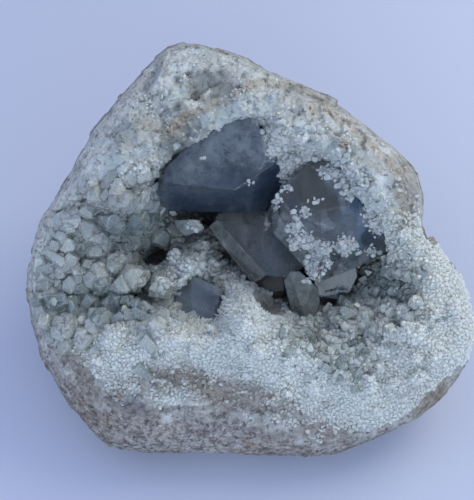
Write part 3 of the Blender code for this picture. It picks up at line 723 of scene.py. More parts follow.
streaks = {"Color": colour, "Pale": (0.66, 0.65, 0.62), "Dark": (0.25, 0.225, 0.205)}
colour = celestite.place(streaked, streaks)["Color"]
grit = celestite.ramp(celestite.noise(620, 6, 0.75, 0.4), [(0.47, 0), (0.58, 1)])
colour = celestite.lay(colour, grit, celestite.mask("gritty"), (0.15, 0.125, 0.105))
shading = celestite.ramp(height, [(0.1, 0.5), (0.42, 0.95), (0.65, 1.08)])
colour = celestite.mix(0.8, colour, shading, "MULTIPLY")
celestite.put({"Color": colour, "Height": height})

rind_finish, net = new_material("weathered rind", {"Roughness": 0.85, "Specular IOR Level": 0.3})
rind_speckles = {
    "Base": (0.30, 0.275, 0.27),
    "Patch": (0.38, 0.335, 0.295),
    "Grain": (0.52, 0.50, 0.48),
    # Pit: painted shade in the bump's pits
    "Pit": (0.12, 0.105, 0.10),
    "Pits": 0.8,
}
colour, height = net.place(speckled, rind_speckles)
rock_tone = net.ramp(net.mask("rock tone"), [(0.15, 0.6), (0.5, 0.95), (0.85, 1.2)])
colour = net.mix(1.0, colour, rock_tone, "MULTIPLY")
for scale, distortion, stops, strength, stain in (
    (32, 0.8, [(0.48, 0), (0.62, 1)], 0.55, (0.30, 0.235, 0.17)),
    (24, 1.5, [(0.485, 0), (0.5, 1), (0.515, 0)], 0.4, (0.60, 0.58, 0.55)),
    (55, 0.6, [(0.60, 0), (0.70, 1)], 0.6, (0.26, 0.14, 0.06)),
    (70, 0.5, [(0.58, 0), (0.68, 1)], 0.45, (0.16, 0.155, 0.16)),
):
    spread = net.ramp(net.noise(scale, 5, 0.62, distortion), stops)
    colour = net.lay(colour, spread, strength, stain)
streaks = {"Color": colour, "Pale": (0.56, 0.54, 0.51), "Dark": (0.15, 0.135, 0.125)}
colour = net.place(streaked, streaks)["Color"]
for mask, strength, stain in (
    ("low edge", 0.4, (0.30, 0.265, 0.235)),
    ("purple", 0.7, (0.21, 0.20, 0.225)),
    ("brown", 0.7, (0.31, 0.25, 0.16)),
    ("pale", 0.6, (0.60, 0.60, 0.58)),
):
    colour = net.lay(colour, net.mask(mask), strength, stain)
grit = net.ramp(net.noise(520, 6, 0.75, 0.4), [(0.48, 0), (0.58, 0.75)])
colour = net.mix(grit, colour, (0.10, 0.085, 0.075))
worn_through = net.place(celestite, {"Sugary": 0.0, "Blocky": 0.0})["Color"]
colour = net.mix(net.mask("crust"), colour, worn_through)
net.put({"Base Color": colour, "Normal": net.bump(height, 0.8, 0.0009)})
rind.data.materials.append(rind_finish)


# The pale crust that lines the open face: massive broken celestite above, with tan veins, and
# the ground of the sugary druse below. Its skin replaces the crust's solid.
BROKEN_EDGE = math.radians(32)
REFRACTION = 1.62  # of celestite
wall = part_of_skin("crust_wall", crust_quads)
wall.data.set_sharp_from_angle(angle=BROKEN_EDGE)
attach(wall, "root")
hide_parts("crystal_crust")

wall_finish, net = new_material("massive celestite", {"Roughness": 0.5, "IOR": REFRACTION})
colour, height = net.place(celestite, {"Sugary": 0.9, "Blocky": 0.75})
net.put({"Base Color": colour, "Normal": net.bump(height, 0.75, 0.0008)})
wall.data.materials.append(wall_finish)


# The large crystals: celestite prisms with flat faces, clouded inside, grown into the hollow's
# wall. Those of the middle group have grown through each other and are one piece here too.
NARROWING = 0.12

# A block's outline is seen square to the face, lies at its level and narrows with depth, down to
# its foot. Its front faces are flat: (u, v, w) of a point on each, and the rise of w along u and v.
LARGE_BLOCKS = {
    "back": {
        "outline": [
            (-32.0, 22.2), (-31.3, 12.5), (-28.3, 11.8), (6.1, 11.8), (11.8, 22.2), (9.0, 28.6),
            (1.3, 42.8), (-2.0, 43.8), (-18.2, 36.1), (-30.5, 24.3),
        ],
        "level": 4.0,
        "foot": -22.0,
        "faces": [
            (-6.4, 20.2, 7.6, 0.0, 0.07), (-6.4, 20.2, 7.6, 0.18, 1.7), (-4.7, 20.2, 7.6, -0.75, 1.2),
            (-28.6, 22.6, 7.8, 2.2, 0.0),
        ],
    },
    "right": {
        "outline": [
            (5.4, 13.5), (7.4, 6.1), (20.9, -9.4), (25.3, -10.4), (34.0, -7.1), (42.5, -3.4),
            (47.9, -0.3), (47.0, 4.0), (45.0, 12.5), (42.5, 20.5), (37.0, 25.5), (28.6, 28.8),
            (19.9, 29.3), (12.8, 22.6),
        ],
        "level": 4.0,
        "foot": -25.0,
        "faces": [
            (29.7, 12.8, 14.5, 0.3, -0.33), (29.7, 12.8, 14.5, -0.75, -0.25),
            (29.7, 12.8, 14.5, 0.3, 0.48), (29.7, 12.8, 14.5, -0.42, 0.62), (9.0, 10.0, 6.0, 2.0, 0.0),
        ],
    },
    "low": {
        "outline": [
            (21.6, -2.7), (22.2, -15.5), (27.0, -18.9), (33.0, -16.2), (36.1, -8.8), (34.4, -2.7),
        ],
        "level": -2.0,
        "foot": -18.0,
        "faces": [(28.0, -10.0, -1.0, 0.0, 0.25), (28.0, -16.0, -2.4, 0.1, 1.0)],
    },
    "plate": {
        "outline": [
            (-12.5, 11.1), (4.0, -8.1), (11.8, -8.8), (17.5, -6.0), (18.0, 8.0), (8.0, 14.0),
            (-11.0, 13.5),
        ],
        "level": -8.0,
        "foot": -26.0,
        "faces": [(0.0, 6.0, -8.5, 0.28, -0.2), (3.0, -2.0, -6.1, 0.05, -0.3)],
    },
    "bar": {
        "outline": [(-14.8, 8.2), (1.0, -11.6), (5.1, -8.1), (-11.1, 11.1)],
        "level": -9.5,
        "foot": -25.0,
        "faces": [(-5.6, -0.6, -8.2, 0.28, -0.2), (-6.6, -1.4, -8.6, 0.9, 0.55)],
    },
    "prism": {
        "outline": [
            (11.1, -10.1), (13.1, -18.9), (16.9, -26.6), (20.6, -26.6), (23.6, -17.5), (22.9, -12.8),
            (16.9, -7.1), (13.5, -7.1),
        ],
        "level": -1.0,
        "foot": -18.0,
        "faces": [
            (19.0, -17.0, -0.5, 0.05, -0.1), (15.2, -14.0, -1.0, 1.1, 0.27),
            (18.5, -24.0, 0.0, 0.0, 0.9),
        ],
    },
    "brown": {
        "outline": [
            (-2.4, -13.5), (-1.3, -16.5), (4.0, -18.5), (11.8, -15.5), (11.0, -7.0), (-1.3, -7.5),
        ],
        "level": -9.5,
        "foot": -21.0,
        "faces": [(5.0, -13.0, -9.5, 0.25, 0.0), (5.0, -14.5, -9.4, 0.1, 0.9)],
    },
    "front": {
        "outline": [
            (-19.8, -8.0), (-23.4, -11.2), (-26.2, -19.5), (-27.2, -23.6), (-19.5, -26.2),
            (-9.2, -24.8), (-7.2, -17.2), (-7.2, -14.4),
        ],
        "level": 0.0,
        "foot": -16.0,
        "faces": [(-17.0, -17.0, 1.5, 0.06, -0.35), (-12.0, -18.0, 2.15, -0.55, -0.35)],
    },
    "point": {
        "outline": [
            (-26.3, 10.4), (-25.3, 8.1), (-21.9, 4.4), (-17.2, 6.0), (-15.2, 7.4), (-17.2, 10.4),
        ],
        "level": 0.0,
        "foot": -15.0,
        "faces": [
            (-20.5, 7.8, 0.3, 0.5, -0.3), (-20.5, 7.8, 0.3, -0.4, -0.3), (-20.5, 7.8, 0.3, 0.0, 0.9),
            (-20.5, 7.8, -0.4, 0.0, 0.0),
        ],
    },
}
# The imported solid, the blocks, the slot, and how worn (in millimetres) and how pale the edges are; the pale
# edges are partly wear and partly painted edge highlight
LARGE_PIECES = {
    "back_crystal": ("back_blue_crystal", ["back"], "blue_crystal", 0.35, 0.15),
    "middle_crystals": (
        "middle_crystal_group", ["right", "low", "plate", "bar", "prism", "brown"], "blue_crystal", 0.25, 0.9,
    ),
    "front_crystal": ("front_blue_crystal", ["front"], "blue_crystal", 0.3, 0.6),
    "clear_tip": ("clear_point", ["point"], "pale_crystal", 0.2, 1.0),
}
NEARLY_PARALLEL, JUST_INSIDE = 1e-5, 1e-5
SAME_CORNER = 1e-3
SAME_PLANE = math.radians(1.5)
SLIVER = 0.02  # shorter edges that the join leaves are taken out
SHARP = math.radians(12)
SHADED_SHARP = math.radians(28)
FINE_FACET, COARSE_FACET = 0.6, 3.5
LOOKS_OUT = 0.25
SEEN_BELOW = -16.0
LUMPS = 1.1
SLACK = 0.25
RIPPLE = 0.12
CLEARNESS = 0.6
SOFT_OVAL = 1.2
SPARKLE_WIDTH = 1.1
BEND_FROM, BEND_TO = 0.01, 0.07  # how far normals turn at an edge where it begins to be pale
RIPPLE_LEVELS = 1.6  # flat levels that the ripples' noise is cut into, for each unit of it

# For each block: deep colour, cloud colour, second colour, share of cloud and of painted glints
CRYSTAL_COLOURS = {
    "back": ((0.033, 0.058, 0.105), (0.335, 0.39, 0.445), (0.045, 0.078, 0.14), 0.14, 0.25),
    "right": ((0.1, 0.125, 0.135), (0.38, 0.41, 0.42), (0.1, 0.18, 0.31), 0.45, 1.0),
    "low": ((0.04, 0.055, 0.072), (0.1, 0.12, 0.145), (0.065, 0.09, 0.13), 0.3, 0.35),
    "plate": ((0.1, 0.105, 0.102), (0.27, 0.285, 0.28), (0.155, 0.21, 0.265), 0.45, 0.45),
    "bar": ((0.17, 0.175, 0.155), (0.42, 0.45, 0.42), (0.15, 0.14, 0.1), 0.6, 0.7),
    "prism": ((0.23, 0.265, 0.24), (0.5, 0.54, 0.5), (0.25, 0.25, 0.19), 0.45, 0.8),
    "brown": ((0.075, 0.062, 0.04), (0.2, 0.18, 0.14), (0.12, 0.09, 0.05), 0.5, 0.6),
    "front": ((0.15, 0.2, 0.25), (0.32, 0.37, 0.41), (0.05, 0.08, 0.14), 0.4, 0.4),
    "point": ((0.34, 0.38, 0.37), (0.62, 0.66, 0.65), (0.45, 0.49, 0.48), 0.5, 0.6),
}
ABSORPTION = {"blue_crystal": ((0.35, 0.50, 0.75), 55), "pale_crystal": ((0.6, 0.8, 0.85), 30)}

# Ovals of the picture, (middle, half size, turn, strength), that are frosted or second-coloured
FROSTED = {
    "back": [
        ((230, 141), (40, 24), 12, 0.95), ((192, 170), (34, 16), 25, 0.5),
        ((163, 199), (7, 16), 0, 0.5), ((258, 148), (14, 24), -20, 0.7),
        ((212, 186), (46, 15), 5, 0.22), ((190, 205), (14, 8), 10, 0.1),
    ],
    "right": [
        ((322, 183), (14, 7), 20, 0.3), ((370, 257), (22, 10), 25, 0.6),
        ((285, 222), (14, 8), -50, 0.35), ((340, 175), (22, 8), -10, 0.35),
        ((300, 178), (10, 8), 0, 0.2),
    ],
    "low": [((322, 284), (6, 6), 0, 0.5)],
    "plate": [
        ((243, 226), (24, 10), 0, 0.35), ((252, 250), (4, 26), -30, 0.25),
        ((270, 240), (3, 20), 10, 0.3),
    ],
    "bar": [((228, 240), (3, 20), -40, 0.8)],
    "prism": [((289, 292), (3.5, 14), 10, 0.9), ((305, 318), (8, 6), 0, 0.4)],
    "brown": [((262, 290), (8, 3), 20, 0.4)],
    "front": [((205, 284), (16, 4), -30, 0.4), ((180, 314), (8, 8), 0, 0.3)],
    "point": [((186, 222), (8, 2), 0, 0.9), ((184, 232), (3, 5), 0, 0.7)],
}
SECOND_COLOURED = {
    "back": [((190, 200), (30, 9), 0, 0.7)],
    "right": [((358, 214), (24, 40), 5, 1.0), ((300, 215), (8, 14), 30, 0.5)],
    "low": [((340, 290), (10, 14), 0, 0.8)],
    "plate": [((274, 252), (15, 26), 0, 0.9)],
    "bar": [((255, 272), (12, 8), 40, 0.8)],
    "prism": [((308, 300), (8, 20), 0, 0.8)],
    "brown": [((268, 296), (10, 6), 0, 0.8)],
    "front": [((221, 300), (13, 24), 10, 1.0)],
    "point": [((190, 228), (5, 5), 0, 0.6)],
}
OLIVE_FACE = [(294, 173), (305, 165), (317, 166), (326, 192), (343, 207), (327, 216), (300, 208)]
# Lines through pixels, and how strongly they sparkle: painted highlights in the white druse's colour
SPARKLING_EDGES = [
    ([(236, 191), (247, 184), (256, 179), (264, 163)], 0.9),
    ([(272, 205), (275, 195), (284, 186)], 1.0), ([(267, 210), (269, 224), (274, 233)], 0.8),
    ([(311, 168), (322, 178), (333, 192)], 0.8), ([(286, 185), (296, 172), (308, 166)], 0.7),
    ([(284, 205), (290, 214), (296, 222)], 0.5), ([(208, 226), (232, 256), (254, 284)], 0.7),
    ([(217, 218), (241, 247), (262, 274)], 0.8), ([(268, 216), (262, 240), (266, 262)], 0.35),
    ([(195, 277), (212, 285), (231, 294)], 0.6), ([(351, 240), (349, 262), (353, 274)], 0.35),
    ([(299, 276), (288, 290), (291, 318)], 0.5), ([(360, 200), (365, 190), (372, 186)], 0.6),
    ([(300, 205), (316, 213), (340, 208)], 0.4),
]
# Where druse covers them: (middle, half size, strength)
DRUSE_GROUNDS = {
    "back_crystal": [((270, 140), (9, 24), 0.8), ((256, 124), (7, 5), 0.5)],
    "middle_crystals": [
        ((300, 240), (12, 9), 0.8), ((318, 250), (11, 10), 0.9), ((342, 246), (11, 9), 0.8),
        ((315, 271), (9, 9), 0.8), ((372, 215), (12, 14), 0.8), ((300, 216), (9, 8), 0.35),
        ((334, 176), (14, 7), 0.5), ((326, 262), (5, 5), 0.4),
    ],
}


def unit(vector):
    return np.array(vector, float) / np.linalg.norm(vector)


def block_planes(outline, level, foot, faces):
    """The flat faces of a block, one to a row: outward normal and offset."""
    planes = [(0, 0, -1, -foot)]
    for (u0, v0), (u1, v1) in zip(outline, outline[1:] + outline[:1]):
        normal = unit((v1 - v0, u0 - u1, -NARROWING * math.hypot(v1 - v0, u0 - u1)))
        planes.append((*normal, normal @ (u0, v0, level)))
    for u, v, w, rise_u, rise_v in faces:
        normal = unit((-rise_u, -rise_v, 1))
        planes.append((*normal, normal @ (u, v, w)))
    return np.array(planes)


def cut_out(planes):
    """The solid that lies inside all the planes."""
    mesh = bmesh.new()
    for trio in combinations(range(len(planes)), 3):
        faces = planes[list(trio)]
        if abs(np.linalg.det(faces[:, :3])) > NEARLY_PARALLEL:
            corner = np.linalg.solve(faces[:, :3], faces[:, 3])
            if (planes[:, :3] @ corner <= planes[:, 3] + JUST_INSIDE).all():
                mesh.verts.new(corner)
    bmesh.ops.remove_doubles(mesh, verts=mesh.verts, dist=SAME_CORNER)
    bmesh.ops.convex_hull(mesh, input=mesh.verts)
    bmesh.ops.recalc_face_normals(mesh, faces=mesh.faces)
    bmesh.ops.dissolve_limit(mesh, angle_limit=SAME_PLANE, verts=mesh.verts, edges=mesh.edges)
    return mesh


def joined_blocks(name, blocks, wear):
    """The blocks of a piece, joined where they run through each other, with worn edges."""
    shapes = []
    for block in blocks:
        mesh = cut_out(block_planes(**LARGE_BLOCKS[block]))
        data = bpy.data.meshes.new(block)
        mesh.to_mesh(data)
        mesh.free()
        data.materials.append(crystal_finishes[block])
        shapes.append(add_object(name if block == blocks[0] else block, data))
    for other in shapes[1:]:
        union = shapes[0].modifiers.new(other.name, "BOOLEAN")
        union.operation = "UNION"
        union.object = other
        union.material_mode = "TRANSFER"
    whole = shapes[0].evaluated_get(bpy.context.evaluated_depsgraph_get())
    shapes[0].data = bpy.data.meshes.new_from_object(whole)
    shapes[0].modifiers.clear()
    for other in shapes[1:]:
        bpy.data.objects.remove(other)
    mesh = bmesh.new()
    mesh.from_mesh(shapes[0].data)
    bmesh.ops.dissolve_degenerate(mesh, dist=SLIVER, edges=mesh.edges)
    edges = [edge for edge in mesh.edges if edge.is_convex and edge.calc_face_angle() > SHARP]
    bmesh.ops.bevel(mesh, geom=edges, offset=wear, segments=3, affect="EDGES")
    mesh.to_mesh(shapes[0].data)
    mesh.free()
    return shapes[0]


def facet_size(edge):
    """Small facets where a face looks out of the hollow, larger ones where it is grown in."""
    looks_out = any(face.normal.z > LOOKS_OUT for face in edge.link_faces)
    return FINE_FACET if looks_out and edge.verts[0].co.z > SEEN_BELOW else COARSE_FACET


def cut_small(data):
    """Cuts the flat faces into small facets, so that they can take relief and masks."""
    mesh = bmesh.new()
    mesh.from_mesh(data)
    for _ in range(8):
        bmesh.ops.triangulate(mesh, faces=mesh.faces)
        mesh.normal_update()
        long_edges = [edge for edge in mesh.edges if edge.calc_length() > facet_size(edge)]
        if not long_edges:
            break
        bmesh.ops.subdivide_edges(mesh, edges=long_edges, cuts=1)
    bmesh.ops.triangulate(mesh, faces=mesh.faces)
    mesh.to_mesh(data)
    mesh.free()


def inside_outline(places, pixels, softness):
    """A mask that is 1 inside an outline on the picture and fades over its edge."""
    points = np.array([at_pixel(*pixel) for pixel in pixels])
    inside = np.zeros(len(places), bool)
    for (u0, v0), (u1, v1) in zip(points, np.roll(points, -1, axis=0)):
        crosses = (v0 > places[:, 1]) != (v1 > places[:, 1])
        inside ^= crosses & (places[:, 0] < u0 + (places[:, 1] - v0) * (u1 - u0) / (v1 - v0))
    edge = streak(places, pixels + pixels[:1], softness)
    return np.where(inside, 1 - 0.5 * edge, 0.5 * edge)


def bends(mesh, outward):
    """For each corner how far its normal turns away from those of its faces, as at an edge."""
    face_normals = np.repeat(all_of(mesh.polygons, "normal", 3), 3, axis=0)
    corner_of = all_of(mesh.loops, "vertex_index", 1, np.int64)[:, 0]
    bend = np.zeros(len(outward))
    np.maximum.at(bend, corner_of, 1 - np.einsum("ij,ij->i", outward[corner_of], face_normals))
    return bend


def weather(piece, blocks, edge_paleness):
    """Ripples and lumps on the faces, and masks for frost, second colour, edges and druse; pale edges are
    partly painted highlight, and the druse mask also carries painted sparkle.
    """
    mesh = piece.data
    here = all_of(mesh.vertices, "co", 3)
    outward = all_of(mesh.vertex_normals, "vector", 3)
    # Pale edges where the normals turn: partly worn, partly painted edge highlight.
    worn = edge_paleness * smooth_step(bends(mesh, outward), BEND_FROM, BEND_TO)
    wobble = rough(here, 5, 320)
    frost, second = np.zeros((2, len(here)))
    for block in blocks:
        planes = block_planes(**LARGE_BLOCKS[block])
        inside = (here @ planes[:, :3].T - planes[:, 3]).max(axis=1) < 2 * SLACK
        for mask, ovals in ((frost, FROSTED[block]), (second, SECOND_COLOURED[block])):
            amount = sum(strength * blob(here, *oval, SOFT_OVAL) for *oval, strength in ovals)
            mask[inside] = np.maximum(mask[inside], amount[inside])
    sparkling = sum(strength * streak(here, line, SPARKLE_WIDTH) for line, strength in SPARKLING_EDGES)
    sparkling *= 0.55 + rough(here, 1.5, 335)
    white = sum(strength * blob(here, *oval) for *oval, strength in DRUSE_GROUNDS.get(piece.name, []))
    white = smooth_step(white * (1 + 1.1 * rough(here, 2.2, 330)), 0.25, 0.6)
    steps = np.round(RIPPLE_LEVELS * rough(here * (0.35, 1, 1), 6, 200)) / RIPPLE_LEVELS
    lumps = LUMPS * np.clip(white, 0, 1) * (0.9 + rough(here, 1.7, 345))
    here += outward * (RIPPLE * (0.8 * steps + rough(here, 5, 205)) + lumps)[:, None]
    mesh.vertices.foreach_set("co", here.ravel())
    tones = {
        "frost": frost * (1 + 0.5 * wobble),
        "second": second * (1 + 0.5 * wobble),
        "edge": worn * (0.5 + rough(here, 4, 340)),
        # white holds the druse on the crystals and, along the sparkling edges, painted highlights
        "white": np.maximum(0.9 * white, 0.6 * sparkling),
        "olive": inside_outline(here, OLIVE_FACE, 1.5) * ("right" in blocks),
    }
    for name, values in tones.items():
        keep_mask(mesh, name, np.clip(values, 0, 1))


# Clouded crystal: milky clouds and thin veils in a deep colour, frost on the outer faces, angular cells of
# painted glints, worn edges paled partly as painted edge highlight, and white druse with painted sparkle
# along some edges
clouded = new_group(
    "clouded crystal",
    ["Deep", "Cloud", "Second"],
    ["Cloudiness", "Glint Share", "Frost", "Second Share", "Edge", "White Druse And Sparkle", "Olive"],
    ["Color", "Roughness", "Height"],
)
stretch = {
    "Vector": clouded.add("TexCoord", {})["Object"],
    "Rotation": (0.3, 0.5, 0.9),
    "Scale": (1.0, 0.28, 0.6),
}
stretched = clouded.add("Mapping", stretch)["Vector"]
billow = clouded.ramp(clouded.noise(90, 6, 0.68, 1.2), [(0.40, 0), (0.62, 1)])
veils = clouded.noise(330, 5, 0.65, 1.0, stretched)
veils = clouded.ramp(veils, [(0.5, 0), (0.57, 1), (0.62, 0.15)])
wisps = clouded.ramp(clouded.noise(50, 6, 0.72, 2.2), [(0.485, 0), (0.5, 1), (0.515, 0)])
mottle = clouded.ramp(clouded.noise(260, 6, 0.7, 1.0), [(0.48, 0), (0.68, 1)])
milky = billow
for cloud, strength in ((veils, 0.35), (wisps, 0.5), (mottle, 0.5)):
    milky = clouded.math("ADD", milky, clouded.math("MULTIPLY", cloud, strength))
milky = clouded.math("MULTIPLY", milky, clouded.given("Cloudiness"))
uneven = clouded.ramp(clouded.noise(330, 6, 0.72, 0.8), [(0.32, 0.3), (0.62, 1.1)])
milky = clouded.math("ADD", milky, clouded.math("MULTIPLY", clouded.given("Frost"), uneven))
# Edges paled toward the cloud colour: partly wear, partly painted highlight.
edges = clouded.math("MULTIPLY", clouded.given("Edge"), clouded.math("MULTIPLY", uneven, 0.3))
milky = clouded.math("MAXIMUM", milky, edges)
colour = clouded.mix(clouded.given("Second Share"), clouded.given("Deep"), clouded.given("Second"))
olive = clouded.math("MULTIPLY", clouded.given("Olive"), 0.8)
colour = clouded.mix(olive, colour, (0.095, 0.10, 0.07))
milky = clouded.math("MULTIPLY", milky, clouded.math("SUBTRACT", 1.0, olive))
colour = clouded.mix(milky, colour, clouded.given("Cloud"))
# Angular cells of brighter and darker colour: painted glints.
glint_cells = clouded.add("TexVoronoi", {"Vector": stretched, "Scale": 210}, distance="MANHATTAN")["Color"]
glints = clouded.ramp(glint_cells, [(0.15, 0.62), (0.5, 0.98), (0.85, 1.55)])
colour = clouded.mix(clouded.given("Glint Share"), colour, clouded.mix(1.0, colour, glints, "MULTIPLY"))
colour = clouded.mix(clouded.given("White Druse And Sparkle"), colour, (0.66, 0.69, 0.70))
roughness = clouded.math("ADD", clouded.math("MULTIPLY", milky, 0.4), 0.07)
ripples = clouded.noise(260, 6, 0.6, 0.4, stretched)
clouded.put({"Color": colour, "Roughness": roughness, "Height": ripples})

crystal_finishes = {}
for block, (deep_colour, cloud_colour, second_colour, cloudiness, glint_share) in CRYSTAL_COLOURS.items():
    clear = {"IOR": REFRACTION, "Transmission Weight": CLEARNESS}
    finish, net = new_material(f"celestite {block}", clear)
    masked = {"Frost": "frost", "Second Share": "second", "Edge": "edge", "White Druse And Sparkle": "white", "Olive": "olive"}
    body_values = {
        "Deep": deep_colour,
        "Cloud": cloud_colour,
        "Second": second_colour,
        "Cloudiness": cloudiness,
        "Glint Share": glint_share,
        **{socket: net.mask(mask) for socket, mask in masked.items()},
    }
    colour, roughness, height = net.place(clouded, body_values)
    net.put({"Base Color": colour, "Roughness": roughness, "Normal": net.bump(height, 0.3, 0.0006)})
    tint, density = ABSORPTION["pale_crystal" if block == "point" else "blue_crystal"]
    depths = net.add("VolumeAbsorption", {"Color": tint, "Density": density})["Volume"]
    net.fill(net.tree.nodes["Material Output"], {"Volume": depths})
    crystal_finishes[block] = finish

large_crystals = []
for name, (node, blocks, slot, wear, edge_paleness) in LARGE_PIECES.items():
    crystal = joined_blocks(name, blocks, wear)
    cut_small(crystal.data)
    weather(crystal, blocks, edge_paleness)
    crystal.data.transform(TO_WORLD)
    crystal.data.shade_smooth()
    crystal.data.set_sharp_from_angle(angle=SHADED_SHARP)
    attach(crystal, "root")
    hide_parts(node)
    large_crystals.append(crystal)


# The sugary druse of the front lip and the right lobe: thousands of clear to white crystals a
# millimetre or so across, flattened prisms with roof-shaped tips, grown on the crust.
CROSS_SECTION = (50, 62)  # angles of the faces, in degrees
ROOF, STEEP_ROOF = (44, 60), (64, 74)
GABLE, STEEP_GABLE = (35, 62), (62, 72)
FOOT_DEPTH, SIDE_OFFSET, SQUARE_OFFSET = 0.45, 0.44, 0.5  # of a crystal about 1 high and 1 wide
ROOF_HEIGHT, GABLE_HEIGHT = (0.62, 0.8), (0.75, 1.0)
SKEW, OFFSET_SPREAD, WIDTH_SPREAD = 0.035, (0.9, 1.1), (0.8, 1.2)
WORN_ABOVE = -0.4
CLEAR_ABOVE_FOOT = 1.2
PALER, DULLER = 0.4, 0.5
DIRT_SHOWN, TAN_SHOWN, MOST_STAIN = 0.95, 0.5, 0.85
# Small crystals are painted darker with depth in the hollow: painted shade.
SHADE_FROM, SHADE_TO, SHADE = -2, 16, 0.62  # depths between which the crystals darken, and how far

# Ovals of the picture, (middle, half size, turn), where the small crystals are pale or dull
PALE_PLACES = [
    ((365, 318), (24, 18)), ((400, 330), (16, 20)), ((95, 345), (45, 20)), ((185, 275), (26, 18)),
    ((140, 330), (40, 12)), ((75, 225), (18, 12), 20), ((50, 250), (16, 12)), ((125, 274), (9, 14)),
    ((118, 196), (12, 10)), ((60, 272), (12, 10)), ((420, 252), (22, 18)), ((160, 244), (10, 5), 30),
    ((72, 288), (10, 6)), ((190, 258), (22, 26)), ((104, 250), (14, 6)),
]
DULL_PLACES = [
    ((143, 226), (22, 13)), ((158, 226), (11, 11)), ((38, 296), (9, 11)), ((70, 305), (17, 12)),
    ((140, 298), (20, 10)), ((88, 293), (18, 8)), ((104, 222), (14, 10)), ((85, 258), (12, 10)),
    ((378, 285), (20, 14), -30), ((350, 305), (12, 12)), ((225, 268), (10, 18), -35),
    ((245, 285), (14, 8)), ((236, 350), (58, 20)),
]
# Lines that no small crystal hides, with half their width: edges of the large crystals
BARE_LINES = [
    ([(176, 304), (184, 288), (193, 277), (212, 284), (232, 298)], 5),
    ([(160, 182), (172, 160), (190, 146), (215, 132), (238, 122), (256, 120)], 5),
]
BARE_LIP = ((72, 362), (34, 14), -28)


def crystal_habit(rng, flatness, worn_edge, pointed=False, square=False):
    """One small crystal, about 1 wide and 1 high, cut out by its flat faces.

    Gives its corners, its faces, and for each face whether it is a worn edge.
    """
    def shaken(normal, offset):
        return (*unit(unit(normal) + rng.normal(0, SKEW, 3)), offset * rng.uniform(*OFFSET_SPREAD))

    section = math.radians(rng.uniform(*CROSS_SECTION))
    roof = math.radians(rng.uniform(*(STEEP_ROOF if pointed else ROOF)))
    gable = math.radians(rng.uniform(*(STEEP_GABLE if pointed else GABLE)))
    depth = 0.5 * rng.uniform(*flatness)
    planes = [(0, 0, -1, FOOT_DEPTH)]
    for side in (-1, 1):
        planes.append(shaken((0, side, 0), depth))
        if square:
            planes.append(shaken((side, 0, 0), SQUARE_OFFSET))
        else:
            planes.append(shaken((side * math.sin(section), math.cos(section), 0), SIDE_OFFSET))
            planes.append(shaken((side * math.sin(section), -math.cos(section), 0), SIDE_OFFSET))
        roof_offset = rng.uniform(*ROOF_HEIGHT) * math.cos(roof)
        planes.append(shaken((0, side * math.sin(roof), math.cos(roof)), roof_offset))
        gable_offset = rng.uniform(*GABLE_HEIGHT) * math.cos(gable)
        planes.append(shaken((side * math.sin(gable), 0, math.cos(gable)), gable_offset))
    mesh = cut_out(np.array(planes))
    worn = set()
    if worn_edge:
        edges = [edge for edge in mesh.edges if max(end.co.z for end in edge.verts) > WORN_ABOVE]
        worn = set(bmesh.ops.bevel(mesh, geom=edges, offset=worn_edge, segments=1, affect="EDGES")["faces"])
    mesh.verts.index_update()
    shape = np.array([vertex.co for vertex in mesh.verts])
    faces = [[vertex.index for vertex in face.verts] for face in mesh.faces]
    edge_faces = [float(face in worn) for face in mesh.faces]
    mesh.free()
    return shape, faces, edge_faces


def scattered_feet(weight, size_range, crowding, tries, seed):
    """Scatters crystal feet over the crust, the large ones first and none too close.

    The weight on each corner of the skin says how likely one grows there. Gives the feet, the
    outward directions and the sizes.
    """
    rng = np.random.default_rng(seed)
    chosen = quads[crust_quads]
    across = corners[chosen[:, 2]] - corners[chosen[:, 0]]
    along = corners[chosen[:, 3]] - corners[chosen[:, 1]]
    likely = np.linalg.norm(np.cross(across, along), axis=1) * weight[chosen].mean(axis=1)
    pick = chosen[rng.choice(len(chosen), tries, p=likely / likely.sum())]
    s, t = rng.random((2, tries, 1))
    feet = (1 - s) * ((1 - t) * corners[pick[:, 0]] + t * corners[pick[:, 1]])
    feet += s * ((1 - t) * corners[pick[:, 3]] + t * corners[pick[:, 2]])
    outward = normals[pick].mean(axis=1)
    outward /= np.linalg.norm(outward, axis=1, keepdims=True)
    smallest, largest = size_range
    sizes = np.sort(smallest + (largest - smallest) * rng.random(tries) ** 2)[::-1]
    cell_size = crowding * largest * MM
    reach = 0.5 * crowding * MM
    grid, kept = {}, []
    for index, foot in enumerate(feet):
        cell = tuple((foot // cell_size).astype(int))
        beside = [
            other
            for step in np.ndindex(3, 3, 3)
            for other in grid.get((cell[0] + step[0] - 1, cell[1] + step[1] - 1, cell[2] + step[2] - 1), ())
        ]
        if any(math.dist(foot, feet[other]) < reach * (sizes[index] + sizes[other]) for other in beside):
            continue
        hit = large_tree.ray_cast(Vector(foot), Vector(outward[index]), CLEAR_ABOVE_FOOT * MM)
        if hit[0] is None:
            grid.setdefault(cell, []).append(index)
            kept.append(index)
    return feet[kept], outward[kept], sizes[kept]


def tone_of_place(feet):
    """How pale the crystals are where they stand: wandering patches, and ovals of the picture."""
    here = on_face(feet)
    tone = 0.5 + 0.45 * rough(here, 8, 450) + PALER * blobs(here, PALE_PLACES)
    return tone - DULLER * blobs(here, DULL_PLACES)


